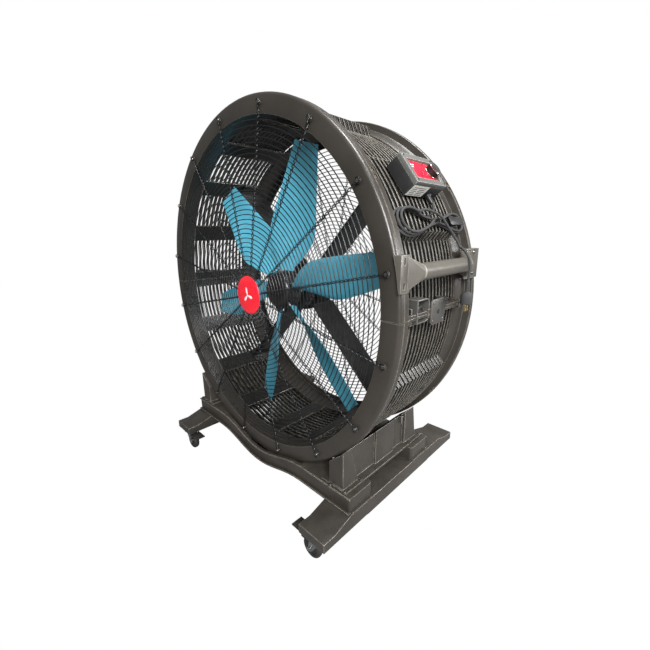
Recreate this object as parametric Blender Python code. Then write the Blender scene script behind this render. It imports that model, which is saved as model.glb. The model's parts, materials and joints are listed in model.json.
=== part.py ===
"""Wheeled drum fan: a louvred two-part drum in a cradle on two castered feet.

Metres, +Z up.  The fan blows towards -Y, and the origin is on the floor under
the middle of the object.  Drum pieces are drawn in the drum's own frame: its
origin is on the drum axis in the plane of the front guard's eyelets, x to the
right, y towards the back and z up.
"""

import math

import bmesh
import bpy
from mathutils import Matrix, Vector

# --- Fits ---------------------------------------------------------------------
GAP = 0.0003  # between pieces that touch
RUNNING = 0.0003  # radial play of a shaft in its bore
RIM_CLEARANCE = 0.0015  # cradle to drum rim
WHEEL_PLAY = 0.001  # wheel to fork cheek

# --- Drum ---------------------------------------------------------------------
RIM_RADIUS = 0.639  # outside of both end flanges
RIM_ROUNDING = 0.008  # from the flat front ring out to the rim
FLANGE_HEIGHT = 0.059  # rim over the inside of the drum wall
WALL = 0.008
FLANGE = 0.005  # plate thickness of the end flanges
FRONT_FACE_Y = -0.0035
FRONT_FLANGE_DEPTH = 0.0395
REAR_LIP = 0.020  # rear mouth smaller than the wall
DRUM_BACK_Y = 0.432
REAR_BAND_DEPTH = 0.076
REAR_FLANGE_DEPTH = 0.012
BAYS = 16
WINDOW_ANGLE = 15.3
WINDOW_FRONT_Y = 0.060
WINDOW_DEPTH = 0.280
FIN_COUNT = 6
FIN_PITCH = 0.0541
FIN_THICKNESS = 0.006
FIRST_FIN_Y = 0.068
FIN_LOW = 0.018  # fin height over the wall's inside in the low bays
FIN_HIGH = 0.045  # the same in the high bays
FIN_STEP_ANGLE = 1.5
SEAM_RAIL = 0.008
SEAM_TRIM = 0.4  # degrees that the fins stop short of the seam
SEGMENT_ANGLE = 7.5

# --- Guards and badge ---------------------------------------------------------
SPOKES = 16
GUARD_THICKNESS = 0.006
GUARD_WIRE = 0.010  # width of the lattice's bars
FRONT_GUARD_RINGS = (0.066, 0.190, 0.320, 0.450)
REAR_GUARD_RINGS = (0.120, 0.260, 0.400)
EYELET_INSET = 0.029  # eyelet circle inside the rim
BADGE_RADIUS = 0.070
BADGE_THICKNESS = 0.008

# --- Rotor --------------------------------------------------------------------
BLADES = 6
FIRST_BLADE_ANGLE = 13.2
TIP_CLEARANCE = 0.049  # blade tip to drum wall
HUB_RADIUS = 0.074
HUB_FRONT_Y = 0.140
HUB_DEPTH = 0.042
DOME_DEPTH = 0.039
DOME_WALL = 0.003
BLADE_PLANE_Y = 0.150
PITCH_LEAD = 0.150  # axial rise of a blade per radian
BLADE_ROOT_WIDTH = 0.058
BLADE_BODY_WIDTH = 0.175
BLADE_TIP_WIDTH = 0.097
BLADE_ROOT_THICKNESS = 0.012
BLADE_TIP_THICKNESS = 0.0045
SHAFT_RADIUS = 0.0095

# --- Motor --------------------------------------------------------------------
MOTOR_RADIUS = 0.088
MOTOR_WALL = 0.004
MOTOR_FRONT_Y = 0.200
MOTOR_LENGTH = 0.130
COVER_DEPTH = 0.006
BEARING_RADIUS = 0.020
BEARING_DEPTH = 0.011
STATOR_LENGTH = 0.074
CORE_RADIUS = 0.046
AIR_GAP = 0.002
SPIDER_BAND = 0.008
SPIDER_BAND_DEPTH = 0.075
ARM_THICKNESS = 0.006
ARM_DEPTH = 0.122
ARM_FRONT_Y = 0.240
PAD_WIDTH = 0.070
PAD_DEPTH = 0.100
PAD_SETBACK = 0.010  # pad behind the front edge of its arm

# --- Handle -------------------------------------------------------------------
GRIP_RADIUS = 0.021
GRIP_STANDOFF = 0.018  # grip axis outside the rim
GRIP_HEIGHT = 0.124  # grip axis above the drum axis
GRIP_FRONT_Y = 0.040
GRIP_LENGTH = 0.267
BRACKET_FRONT_Y = -0.012
BRACKET_DEPTH = 0.041
BRACKET_HEIGHT = 0.090
BRACKET_DROP = 0.004  # middle of the brackets below the grip axis
BRACKET_STANDOFF = 0.0015  # bracket face outside the rim
BRACKET_MARGIN = 0.010  # how far the rim's shape is cut beyond each block
FLARE_OVERLAP = 0.012
REAR_BRACKET_DEPTH = 0.086

# --- Joint plates -------------------------------------------------------------
PLATE_Y = 0.157
PLATE_WIDTH = 0.075
PLATE_HEIGHT = 0.072
PLATE_THICKNESS = 0.006

# --- Control box --------------------------------------------------------------
BOX_ANGLE = 36.4  # its outward normal above the horizontal
BOX_SHIFT = -0.029
BOX_Y = 0.127
BOX_LENGTH = 0.156
BOX_WIDTH = 0.096
BOX_HEIGHT = 0.038
BOX_WALL = 0.003
LID_HEIGHT = 0.0127
LID_RECESS = 0.008
LID_MARGIN = 0.016
KNOB_Y = 0.246
KNOB_SKIRT_RADIUS = 0.021
KNOB_RADIUS = 0.0165
KNOB_HEIGHT = 0.017
KNOB_SHAFT_RADIUS = 0.003
GLAND_Y = 0.236
GLAND_LENGTH = 0.030
GLAND_HEIGHT = 0.0105  # gland axis above the box floor

# --- Cord ---------------------------------------------------------------------
CORD_DIAMETER = 0.007
HANK_ANGLE = 22.5
HANK_THICKNESS = 0.022
HANK_LIFT = 0.002
LEFT_LOBE = (0.145, 0.003, 0.108, 0.046)  # centre y, centre height, half length, half height
RIGHT_LOBE = (0.325, -0.003, 0.087, 0.036)
LOBE_BAND = 0.024
HOOK_LENGTH = 0.056
HOOK_WIDTH = 0.017
HOOK_PLAY = 0.001  # hook lip over the hank
HOOK_LIP = 0.004
HOOK_NOSE = 0.024
LEAD_ROUTE = (
    (0.57605, 0.2360, 0.29127),
    (0.5777, 0.2358, 0.2888),
    (0.5795, 0.2350, 0.2860),
    (0.5810, 0.2334, 0.2829),
    (0.5822, 0.2312, 0.2798),
    (0.5835, 0.2292, 0.2767),
)
TAIL_ROUTE = (
    (0.5982, 0.3045, 0.2058),
    (0.6040, 0.3042, 0.1945),
    (0.6130, 0.3030, 0.1860),
    (0.6245, 0.3005, 0.1800),
    (0.6375, 0.2970, 0.1745),
    (0.6500, 0.2915, 0.1680),
    (0.6618, 0.2857, 0.1590),
    (0.6722, 0.2802, 0.1478),
    (0.6797, 0.2760, 0.1355),
    (0.6834, 0.2728, 0.1230),
    (0.6842, 0.2704, 0.1102),
    (0.6837, 0.2687, 0.0972),
    (0.6830, 0.2680, 0.0840),
)
PLUG_TOP = (0.6830, 0.2680, 0.0837)
RELIEF_LENGTH = 0.032
PLUG_LENGTH = 0.036
PLUG_RADIUS = 0.017
PRONG_SPACING = 0.0127
PRONG_LENGTH = 0.020
PRONG_WIDTH = 0.0063
PRONG_THICKNESS = 0.0015

# --- Base ---------------------------------------------------------------------
RIM_LIFT = 0.148  # lowest point of the rim above the floor
CASTER_HEIGHT = 0.091
FOOT_LENGTH = 0.818
FOOT_OVERHANG = 0.142  # foot end in front of the drum frame's origin
FOOT_OUTER_X = 0.504
FOOT_WIDTH = 0.113
FOOT_END_HEIGHT = 0.032
FOOT_MID_HEIGHT = 0.0537
FOOT_FLAT = 0.048
FOOT_SLOPE = 0.074
FOOT_SKID_LENGTH = 0.400  # flat sole between the casters
FOOT_SKID_DEPTH = 0.002
BEAM_INSET = 0.004
BEAM_OVERHANG = 0.022  # beams beyond both ends of the drum
BEAM_DEPTH = 0.114
BEAM_LIP = 0.014
BEAM_HEIGHT = 0.058
BEAM_DIP = 0.055
BEAM_BOTTOM_DIP = 0.047
BEAM_DIP_REACH = 0.270
SUPPORT_INSET = 0.018
SUPPORT_PLATE = 0.009
SUPPORT_PLATE_WIDTH = 0.110
SUPPORT_HEIGHT = 0.134
SUPPORT_MARGIN_Y = 0.003
COLUMN_INSET = 0.017
COLUMN_MARGIN_Y = 0.008
FRONT_COLUMN_FOOT = 0.076
FRONT_COLUMN_HEAD = 0.036
REAR_COLUMN_Y = 0.340
REAR_COLUMN_FOOT = 0.080
REAR_COLUMN_HEAD = 0.058
COLUMN_THICKNESS = 0.062
WEB_INSET = 0.012
WEB_THICKNESS = 0.050
MID_PLATE_WIDTH = 0.109
MID_PLATE_PROUD = 0.008

# --- Casters ------------------------------------------------------------------
CASTER_SETBACK = 0.032
WHEEL_RADIUS = 0.0375
WHEEL_WIDTH = 0.024
CASTER_TRAIL = 0.025
AXLE_RADIUS = 0.004
CHEEK_THICKNESS = 0.003
CROWN_RADIUS = 0.028
CROWN_HEIGHT = 0.008
PEDAL_LENGTH = 0.052
PEDAL_WIDTH = 0.042
PEDAL_THICKNESS = 0.005
PEDAL_SETBACK = 0.021  # hinge behind the wheel's axle
PEDAL_DROP = 0.0015  # hinge below the top of the wheel
PEDAL_EAR = 0.006
PEDAL_PIN_RADIUS = 0.0025

# --- Places that follow from the sizes ----------------------------------------
FACE_RADIUS = RIM_RADIUS - RIM_ROUNDING
WALL_RADIUS = RIM_RADIUS - FLANGE_HEIGHT
REAR_MOUTH_RADIUS = WALL_RADIUS - REAR_LIP
GRIP_X = RIM_RADIUS + GRIP_STANDOFF
REACH = GRIP_X + GRIP_RADIUS
AXIS_X = (RIM_RADIUS - REACH) / 2
AXIS_Z = RIM_LIFT + RIM_RADIUS
FACE_Y = FOOT_OVERHANG - FOOT_LENGTH / 2
FLOOR = -AXIS_Z
WALL_OUTER = WALL_RADIUS + WALL
LOW_RADIUS = WALL_RADIUS + FIN_LOW
HIGH_RADIUS = WALL_RADIUS + FIN_HIGH
TIP_RADIUS = WALL_RADIUS - TIP_CLEARANCE
BAY_ANGLE = 360 / BAYS
FOOT_TOP = CASTER_HEIGHT + FOOT_MID_HEIGHT
BEAM_TOP = FOOT_TOP + GAP + BEAM_HEIGHT
BASE_MIDDLE_Y = FACE_Y + DRUM_BACK_Y / 2
HALF_BASE = DRUM_BACK_Y / 2 + BEAM_OVERHANG
SHAFT_BORE = SHAFT_RADIUS + RUNNING


# --- Building blocks ----------------------------------------------------------
def clear_scene():
    for obj in list(bpy.data.objects):
        bpy.data.objects.remove(obj, do_unlink=True)


def material(name, colour, roughness, metallic=0.0):
    made = bpy.data.materials.new(name)
    made.use_nodes = True
    shader = made.node_tree.nodes["Principled BSDF"]
    shader.inputs["Base Color"].default_value = (*colour, 1.0)
    shader.inputs["Roughness"].default_value = roughness
    shader.inputs["Metallic"].default_value = metallic
    return made


def frame(name, location=(0, 0, 0), rotation=(0, 0, 0), parent=None):
    empty = bpy.data.objects.new(name, None)
    empty.location = location
    empty.rotation_euler = rotation
    empty.parent = parent
    bpy.context.scene.collection.objects.link(empty)
    return empty


def solid(name, bm, surface=None, parent=None, smooth=True):
    """Turns a bmesh into a scene object with its faces pointing out."""
    bmesh.ops.recalc_face_normals(bm, faces=bm.faces)
    mesh = bpy.data.meshes.new(name)
    bm.to_mesh(mesh)
    bm.free()
    obj = bpy.data.objects.new(name, mesh)
    obj.parent = parent
    bpy.context.scene.collection.objects.link(obj)
    if surface:
        mesh.materials.append(surface)
    if smooth:
        mesh.shade_smooth()
        mesh.set_sharp_from_angle(angle=math.radians(30))
    return obj


def skin(rings, closed=False, into=None):
    """Faces between equal rings of points, with both ends filled unless closed."""
    bm = into or bmesh.new()
    loops = [[bm.verts.new(point) for point in ring] for ring in rings]
    following = loops[1:] + loops[:1] if closed else loops[1:]
    count = len(loops[0])
    for near, far in zip(loops, following):
        for i in range(count):
            j = (i + 1) % count
            bm.faces.new((near[i], near[j], far[j], far[i]))
    if not closed:
        bm.faces.new(loops[0])
        bm.faces.new(loops[-1])
    return bm


def polar(radius, angle, y=0.0):
    turn = math.radians(angle)
    return Vector((radius * math.cos(turn), y, radius * math.sin(turn)))


def circle(radius, y, count=32):
    return [polar(radius, 360 * i / count, y) for i in range(count)]


def turned(profile, count=32):
    """A turned solid about Y from (radius, y) points, both ends filled."""
    return skin([circle(radius, y, count) for radius, y in profile])


def revolved(profile, start=0.0, sweep=360.0, step=SEGMENT_ANGLE):
    """A closed (radius, y) outline carried round the Y axis."""
    steps = max(3, round(sweep / step))
    full = sweep >= 360.0
    count = steps if full else steps + 1
    rings = [
        [polar(radius, start + sweep * i / steps, y) for radius, y in profile]
        for i in range(count)
    ]
    return skin(rings, closed=full)


def rectangle(low_a, high_a, low_b, high_b):
    return [(low_a, low_b), (high_a, low_b), (high_a, high_b), (low_a, high_b)]


def box(low, high, into=None):
    rings = [
        [Vector((x, y, z)) for x, y in rectangle(low[0], high[0], low[1], high[1])]
        for z in (low[2], high[2])
    ]
    return skin(rings, into=into)


def prism(outline, low, high, axis="Y", into=None):
    """An outline of pairs pushed along an axis; pairs are the other two axes in order."""
    order = {"X": lambda a, b, c: (c, a, b), "Y": lambda a, b, c: (a, c, b)}[axis]
    rings = [[Vector(order(a, b, c)) for a, b in outline] for c in (low, high)]
    return skin(rings, into=into)


def hull(points):
    bm = bmesh.new()
    verts = [bm.verts.new(point) for point in points]
    made = bmesh.ops.convex_hull(bm, input=verts)
    unused = set(made["geom_interior"]) | set(made["geom_unused"])
    loose = [item for item in unused if isinstance(item, bmesh.types.BMVert)]
    bmesh.ops.delete(bm, geom=loose, context="VERTS")
    bmesh.ops.dissolve_limit(
        bm, angle_limit=0.01, verts=bm.verts, edges=bm.edges
    )
    return bm


def boolean(target, bm, operation, parent=None):
    """Cuts or joins a helper shape, which stays hidden."""
    helper = solid(f"{target.name}_{operation.lower()}_{len(target.modifiers)}", bm)
    helper.parent = parent or target.parent
    helper.hide_render = True
    helper.display_type = "WIRE"
    modifier = target.modifiers.new(helper.name, "BOOLEAN")
    modifier.operation = operation
    modifier.solver = "EXACT"
    modifier.object = helper


def cut(target, bm, parent=None):
    boolean(target, bm, "DIFFERENCE", parent)


def join(target, bm, parent=None):
    boolean(target, bm, "UNION", parent)


# --- Drum ---------------------------------------------------------------------
def bay_is_high(centre):
    """Every second bay stands proud, the same on both sides of the drum."""
    from_seam = abs(math.degrees(math.asin(math.sin(math.radians(centre)))))
    return round((from_seam - BAY_ANGLE / 2) / BAY_ANGLE) % 2 == 1


def drum_profile():
    band_y = DRUM_BACK_Y - REAR_BAND_DEPTH
    flange_y = DRUM_BACK_Y - REAR_FLANGE_DEPTH
    return [
        (WALL_RADIUS, FRONT_FACE_Y),
        (FACE_RADIUS, FRONT_FACE_Y),
        (RIM_RADIUS, FRONT_FACE_Y + 0.008),
        (RIM_RADIUS, FRONT_FACE_Y + FRONT_FLANGE_DEPTH),
        (RIM_RADIUS - FLANGE, FRONT_FACE_Y + FRONT_FLANGE_DEPTH),
        (RIM_RADIUS - FLANGE, FRONT_FACE_Y + 0.009),
        (WALL_OUTER, FRONT_FACE_Y + 0.007),
        (WALL_OUTER, band_y),
        (WALL_OUTER + 0.018, band_y + 0.010),
        (WALL_OUTER + 0.024, flange_y - 0.016),
        (RIM_RADIUS - FLANGE, flange_y - 0.002),
        (RIM_RADIUS, flange_y + 0.001),
        (RIM_RADIUS, DRUM_BACK_Y),
        (REAR_MOUTH_RADIUS, DRUM_BACK_Y),
        (REAR_MOUTH_RADIUS, DRUM_BACK_Y - FLANGE),
        (WALL_RADIUS, DRUM_BACK_Y - FLANGE),
    ]


def fin_outline(start):
    """Half of a fin, counter-clockwise from the seam at the start angle."""
    outer = []
    for bay in range(BAYS // 2):
        low = start + bay * BAY_ANGLE
        radius = HIGH_RADIUS if bay_is_high(low + BAY_ANGLE / 2) else LOW_RADIUS
        trim = FIN_STEP_ANGLE / 2
        first = low + (trim if bay else SEAM_TRIM)
        last = low + BAY_ANGLE - (trim if bay < BAYS // 2 - 1 else SEAM_TRIM)
        outer += [polar(radius, first + (last - first) * i / 3) for i in range(4)]
    span = 180 - 2 * SEAM_TRIM
    count = round(span / SEGMENT_ANGLE)
    inner_radius = WALL_RADIUS + WALL / 4
    inner = [
        polar(inner_radius, start + SEAM_TRIM + span * (1 - i / count))
        for i in range(count + 1)
    ]
    return [(point.x, point.z) for point in outer + inner]


def drum_half(name, start, surface, parent):
    """One half of the drum, from its seam at the start angle round 180 degrees."""
    gap_angle = math.degrees(GAP / 2 / WALL_RADIUS)
    half = solid(
        name,
        revolved(drum_profile(), start + gap_angle, 180 - 2 * gap_angle),
        surface,
        parent,
    )
    windows = bmesh.new()
    for bay in range(BAYS // 2):
        centre = start + (bay + 0.5) * BAY_ANGLE
        rings = [
            [
                polar(WALL_RADIUS - 0.010, angle, WINDOW_FRONT_Y),
                polar(WALL_OUTER + 0.010, angle, WINDOW_FRONT_Y),
                polar(WALL_OUTER + 0.010, angle, WINDOW_FRONT_Y + WINDOW_DEPTH),
                polar(WALL_RADIUS - 0.010, angle, WINDOW_FRONT_Y + WINDOW_DEPTH),
            ]
            for angle in (centre - WINDOW_ANGLE / 2, centre, centre + WINDOW_ANGLE / 2)
        ]
        skin(rings, into=windows)
    cut(half, windows)
    fins = bmesh.new()
    for number in range(FIN_COUNT):
        y = FIRST_FIN_Y + number * FIN_PITCH
        prism(fin_outline(start), y, y + FIN_THICKNESS, into=fins)
    join(half, fins)
    side = 1 if start == 0 else -1
    seam_y = FRONT_FACE_Y + 0.008
    for direction in (1, -1):
        radii = sorted((direction * (WALL_RADIUS + 0.003), direction * (RIM_RADIUS - 0.009)))
        heights = sorted((side * GAP / 2, side * SEAM_RAIL))
        rail = box(
            (radii[0], seam_y, heights[0]),
            (radii[1], DRUM_BACK_Y - REAR_BAND_DEPTH + 0.005, heights[1]),
        )
        join(half, rail)
    return half


def guard(name, rings, rim, y, surface, parent):
    """A flat lattice of spokes and rings, centred on the drum axis."""
    bands = [(0.0, rings[0])]
    bands += [(ring - GUARD_WIRE / 2, ring + GUARD_WIRE / 2) for ring in rings[1:]]
    bands += [(rim - GUARD_WIRE, rim)]
    levels = [value for band in bands for value in band][1:]
    bm = bmesh.new()
    loops = []
    for radius in levels:
        loop = []
        for spoke in range(SPOKES):
            centre = 360 * (spoke + 0.5) / SPOKES
            half = math.degrees(math.asin(GUARD_WIRE / 2 / radius))
            for offset in (-half, half, 180 / SPOKES):
                loop.append(bm.verts.new(polar(radius, centre + offset, y)))
        loops.append(loop)
    bm.faces.new(loops[0])
    count = len(loops[0])
    for level in range(len(loops) - 1):
        is_ring = level % 2 == 1
        for i in range(count):
            if is_ring or i % 3 == 0:
                j = (i + 1) % count
                near, far = loops[level], loops[level + 1]
                bm.faces.new((near[i], near[j], far[j], far[i]))
    lattice = solid(name, bm, surface, parent, smooth=False)
    thicken = lattice.modifiers.new("thickness", "SOLIDIFY")
    thicken.thickness = GUARD_THICKNESS
    thicken.offset = 0.0
    return lattice


# --- Rotor and motor ----------------------------------------------------------
def blade_width(radius):
    """Width across a blade, from the neck through the broadest part to the tip."""
    root = HUB_RADIUS
    knots = (
        (root, BLADE_ROOT_WIDTH),
        (root + 0.022, BLADE_ROOT_WIDTH),
        (root + 0.088, BLADE_BODY_WIDTH * 0.76),
        (root + 0.146, BLADE_BODY_WIDTH),
        (TIP_RADIUS, BLADE_TIP_WIDTH),
    )
    for (near, first), (far, second) in zip(knots, knots[1:]):
        if radius <= far:
            return first + (second - first) * (radius - near) / (far - near)
    return BLADE_TIP_WIDTH


def blade_section(radius):
    """Eight points round a blade at one distance from the axis, blade pointing along +X."""
    share = (radius - HUB_RADIUS) / (TIP_RADIUS - HUB_RADIUS)
    width = blade_width(radius)
    half = (BLADE_ROOT_THICKNESS + (BLADE_TIP_THICKNESS - BLADE_ROOT_THICKNESS) * share) / 2
    pitch = math.atan2(PITCH_LEAD, radius)
    points = []
    for along, over in ((-0.5, 0), (-0.3, 1), (0, 1), (0.3, 1), (0.5, 0), (0.3, -1), (0, -1), (-0.3, -1)):
        across = along * width
        bulge = 0.05 * width * (1 - 4 * along * along) * min(1.0, 3 * share)
        depth = over * half + bulge
        y = BLADE_PLANE_Y - across * math.sin(pitch) + depth * math.cos(pitch)
        z = across * math.cos(pitch) + depth * math.sin(pitch)
        points.append(Vector((radius, y, z)))
    return points


def blade(number, surface, parent):
    root = HUB_RADIUS + GAP
    stations = [root, HUB_RADIUS + 0.022, HUB_RADIUS + 0.055, HUB_RADIUS + 0.088]
    first = HUB_RADIUS + 0.146
    stations += [first + (TIP_RADIUS - first) * i / 4 for i in range(5)]
    bm = skin([blade_section(radius) for radius in stations])
    turn = Matrix.Rotation(-math.radians(FIRST_BLADE_ANGLE + 360 * number / BLADES), 4, "Y")
    bm.transform(turn)
    return solid(f"blade_{number + 1}", bm, surface, parent)


def rotor(surfaces, parent):
    hub_back = HUB_FRONT_Y + HUB_DEPTH
    hub_outline = [
        (SHAFT_BORE, HUB_FRONT_Y),
        (HUB_RADIUS, HUB_FRONT_Y),
        (HUB_RADIUS, hub_back),
        (SHAFT_BORE, hub_back),
    ]
    solid("hub", revolved(hub_outline, step=11.25), surfaces["gloss"], parent)
    base = HUB_FRONT_Y - GAP
    nose = base - DOME_DEPTH
    bulge = [(1.0, 0.0), (0.97, 0.38), (0.82, 0.70), (0.50, 0.92), (0.06, 1.0)]
    outer = [(HUB_RADIUS * r, base - DOME_DEPTH * d) for r, d in bulge]
    inner_radius, inner_depth = HUB_RADIUS - DOME_WALL, DOME_DEPTH - DOME_WALL
    inner = [(inner_radius * r, base - inner_depth * d) for r, d in reversed(bulge)]
    solid("hub_dome", turned(inner + outer), surfaces["gloss"], parent)
    for number in range(BLADES):
        blade(number, surfaces["blade"], parent)
    core_front = MOTOR_FRONT_Y + (MOTOR_LENGTH - STATOR_LENGTH) / 2
    shaft = [
        (SHAFT_RADIUS, nose + 0.016),
        (SHAFT_RADIUS, core_front),
        (CORE_RADIUS, core_front),
        (CORE_RADIUS, core_front + STATOR_LENGTH),
        (SHAFT_RADIUS, core_front + STATOR_LENGTH),
        (SHAFT_RADIUS, MOTOR_FRONT_Y + MOTOR_LENGTH + 0.002),
    ]
    solid("motor_rotor", turned(shaft, 24), surfaces["steel"], parent)


def motor(surfaces, parent):
    back = MOTOR_FRONT_Y + MOTOR_LENGTH
    seat = BEARING_RADIUS + GAP
    inside = MOTOR_RADIUS - MOTOR_WALL
    cover_back = MOTOR_FRONT_Y + COVER_DEPTH
    wall = BEARING_DEPTH + 0.001
    housing = [
        (inside, cover_back + GAP),
        (MOTOR_RADIUS, cover_back + GAP),
        (MOTOR_RADIUS, back),
        (seat, back),
        (seat, back - wall),
        (inside, back - wall),
    ]
    solid("motor_housing", revolved(housing, step=11.25), surfaces["black"], parent)
    cover = [
        (seat, MOTOR_FRONT_Y),
        (MOTOR_RADIUS, MOTOR_FRONT_Y),
        (MOTOR_RADIUS, cover_back),
        (inside - GAP, cover_back),
        (inside - GAP, MOTOR_FRONT_Y + wall),
        (seat, MOTOR_FRONT_Y + wall),
    ]
    solid("motor_front_cover", revolved(cover, step=11.25), surfaces["black"], parent)
    for name, y in (("bearing_front", MOTOR_FRONT_Y), ("bearing_rear", back - wall)):
        ring = [
            (SHAFT_BORE, y + 0.0005),
            (BEARING_RADIUS, y + 0.0005),
            (BEARING_RADIUS, y + 0.0005 + BEARING_DEPTH),
            (SHAFT_BORE, y + 0.0005 + BEARING_DEPTH),
        ]
        solid(name, revolved(ring, step=18), surfaces["steel"], parent)
    core_front = MOTOR_FRONT_Y + (MOTOR_LENGTH - STATOR_LENGTH) / 2
    stator = [
        (CORE_RADIUS + AIR_GAP, core_front),
        (inside - GAP, core_front),
        (inside - GAP, core_front + STATOR_LENGTH),
        (CORE_RADIUS + AIR_GAP, core_front + STATOR_LENGTH),
    ]
    solid("motor_stator", revolved(stator, step=11.25), surfaces["steel"], parent)


def spider(surface, parent):
    """A band round the motor with four blades of plate out to the drum wall."""
    inner = MOTOR_RADIUS + GAP
    band_y = ARM_FRONT_Y + (ARM_DEPTH - SPIDER_BAND_DEPTH) / 2
    band_y = min(band_y, MOTOR_FRONT_Y + MOTOR_LENGTH - SPIDER_BAND_DEPTH)
    band = [
        (inner, band_y),
        (inner + SPIDER_BAND, band_y),
        (inner + SPIDER_BAND, band_y + SPIDER_BAND_DEPTH),
        (inner, band_y + SPIDER_BAND_DEPTH),
    ]
    made = solid("motor_spider", revolved(band, step=11.25), surface, parent)
    flat_radius = WALL_RADIUS * math.cos(math.radians(SEGMENT_ANGLE / 2)) - 2 * GAP
    pad_face = math.sqrt(flat_radius**2 - (PAD_WIDTH / 2) ** 2) - GAP
    pad_y = ARM_FRONT_Y + PAD_SETBACK
    for number in range(4):
        turn = Matrix.Rotation(-math.radians(45 + 90 * number), 4, "Y")
        arm = box(
            (inner + SPIDER_BAND / 2, ARM_FRONT_Y, -ARM_THICKNESS / 2),
            (pad_face - ARM_THICKNESS / 2, ARM_FRONT_Y + ARM_DEPTH, ARM_THICKNESS / 2),
        )
        arm.transform(turn)
        join(made, arm)
        pad = box(
            (pad_face - ARM_THICKNESS, pad_y, -PAD_WIDTH / 2),
            (pad_face, pad_y + PAD_DEPTH, PAD_WIDTH / 2),
        )
        pad.transform(turn)
        join(made, pad)
    return made


# --- Handle and joint plates --------------------------------------------------
def bracket(name, block_y, block_depth, socket_y, surface, parent):
    """A block on the rim that flares down to the round socket of the grip."""
    face = RIM_RADIUS + BRACKET_STANDOFF
    low = GRIP_HEIGHT - BRACKET_DROP - BRACKET_HEIGHT / 2
    high = low + BRACKET_HEIGHT
    root = RIM_RADIUS - 0.045
    near = block_y if socket_y < block_y else block_y + block_depth
    block = box((root, block_y, low), (face, block_y + block_depth, high))
    made = solid(name, block, surface, parent, smooth=False)
    overlap = FLARE_OVERLAP if socket_y < near else -FLARE_OVERLAP
    flare = [
        Vector((x, near + overlap, z))
        for x, z in rectangle(RIM_RADIUS - 0.024, face - 0.002, low + 0.003, high - 0.003)
    ]
    flare += [
        Vector((GRIP_X, socket_y, GRIP_HEIGHT)) + point
        for point in circle(GRIP_RADIUS, 0.0, 16)
    ]
    join(made, hull(flare))
    seat = RIM_RADIUS + GAP
    ends = (block_y - BRACKET_MARGIN, block_y + block_depth + BRACKET_MARGIN)
    cut(made, turned([(seat, y) for y in ends], 96))
    return made


def handle(surfaces, parent):
    grip_back = GRIP_FRONT_Y + GRIP_LENGTH
    bracket(
        "handle_bracket_front", BRACKET_FRONT_Y, BRACKET_DEPTH, GRIP_FRONT_Y, surfaces["grey"], parent
    )
    bracket(
        "handle_bracket_rear",
        DRUM_BACK_Y - REAR_BRACKET_DEPTH,
        REAR_BRACKET_DEPTH,
        grip_back,
        surfaces["grey"],
        parent,
    )
    grip = turned([(GRIP_RADIUS, GRIP_FRONT_Y + GAP), (GRIP_RADIUS, grip_back - GAP)], 24)
    grip.transform(Matrix.Translation((GRIP_X, 0, GRIP_HEIGHT)))
    solid("handle_grip", grip, surfaces["grey"], parent)


def joint_plate(name, side, surface, parent):
    near = side * (RIM_RADIUS - 0.009 + GAP)
    far = near + side * PLATE_THICKNESS
    corner = 0.008
    half = PLATE_HEIGHT / 2
    back = PLATE_Y + PLATE_WIDTH
    outline = [
        (PLATE_Y + corner, -half),
        (back - corner, -half),
        (back, corner - half),
        (back, half - corner),
        (back - corner, half),
        (PLATE_Y + corner, half),
        (PLATE_Y, half - corner),
        (PLATE_Y, corner - half),
    ]
    return solid(name, prism(outline, near, far, axis="X"), surface, parent, smooth=False)


# --- Control box --------------------------------------------------------------
def tray(low, high, floor, rim, wall_a, wall_b, bottom):
    """A lidless box: outside from floor to rim, with a pocket down to the bottom level."""
    outside = rectangle(low[0], high[0], low[1], high[1])
    inside = rectangle(low[0] + wall_a, high[0] - wall_a, low[1] + wall_b, high[1] - wall_b)
    levels = ((outside, floor), (outside, rim), (inside, rim), (inside, bottom))
    return skin([[Vector((x, y, z)) for y, z in loop] for loop, x in levels])


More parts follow.
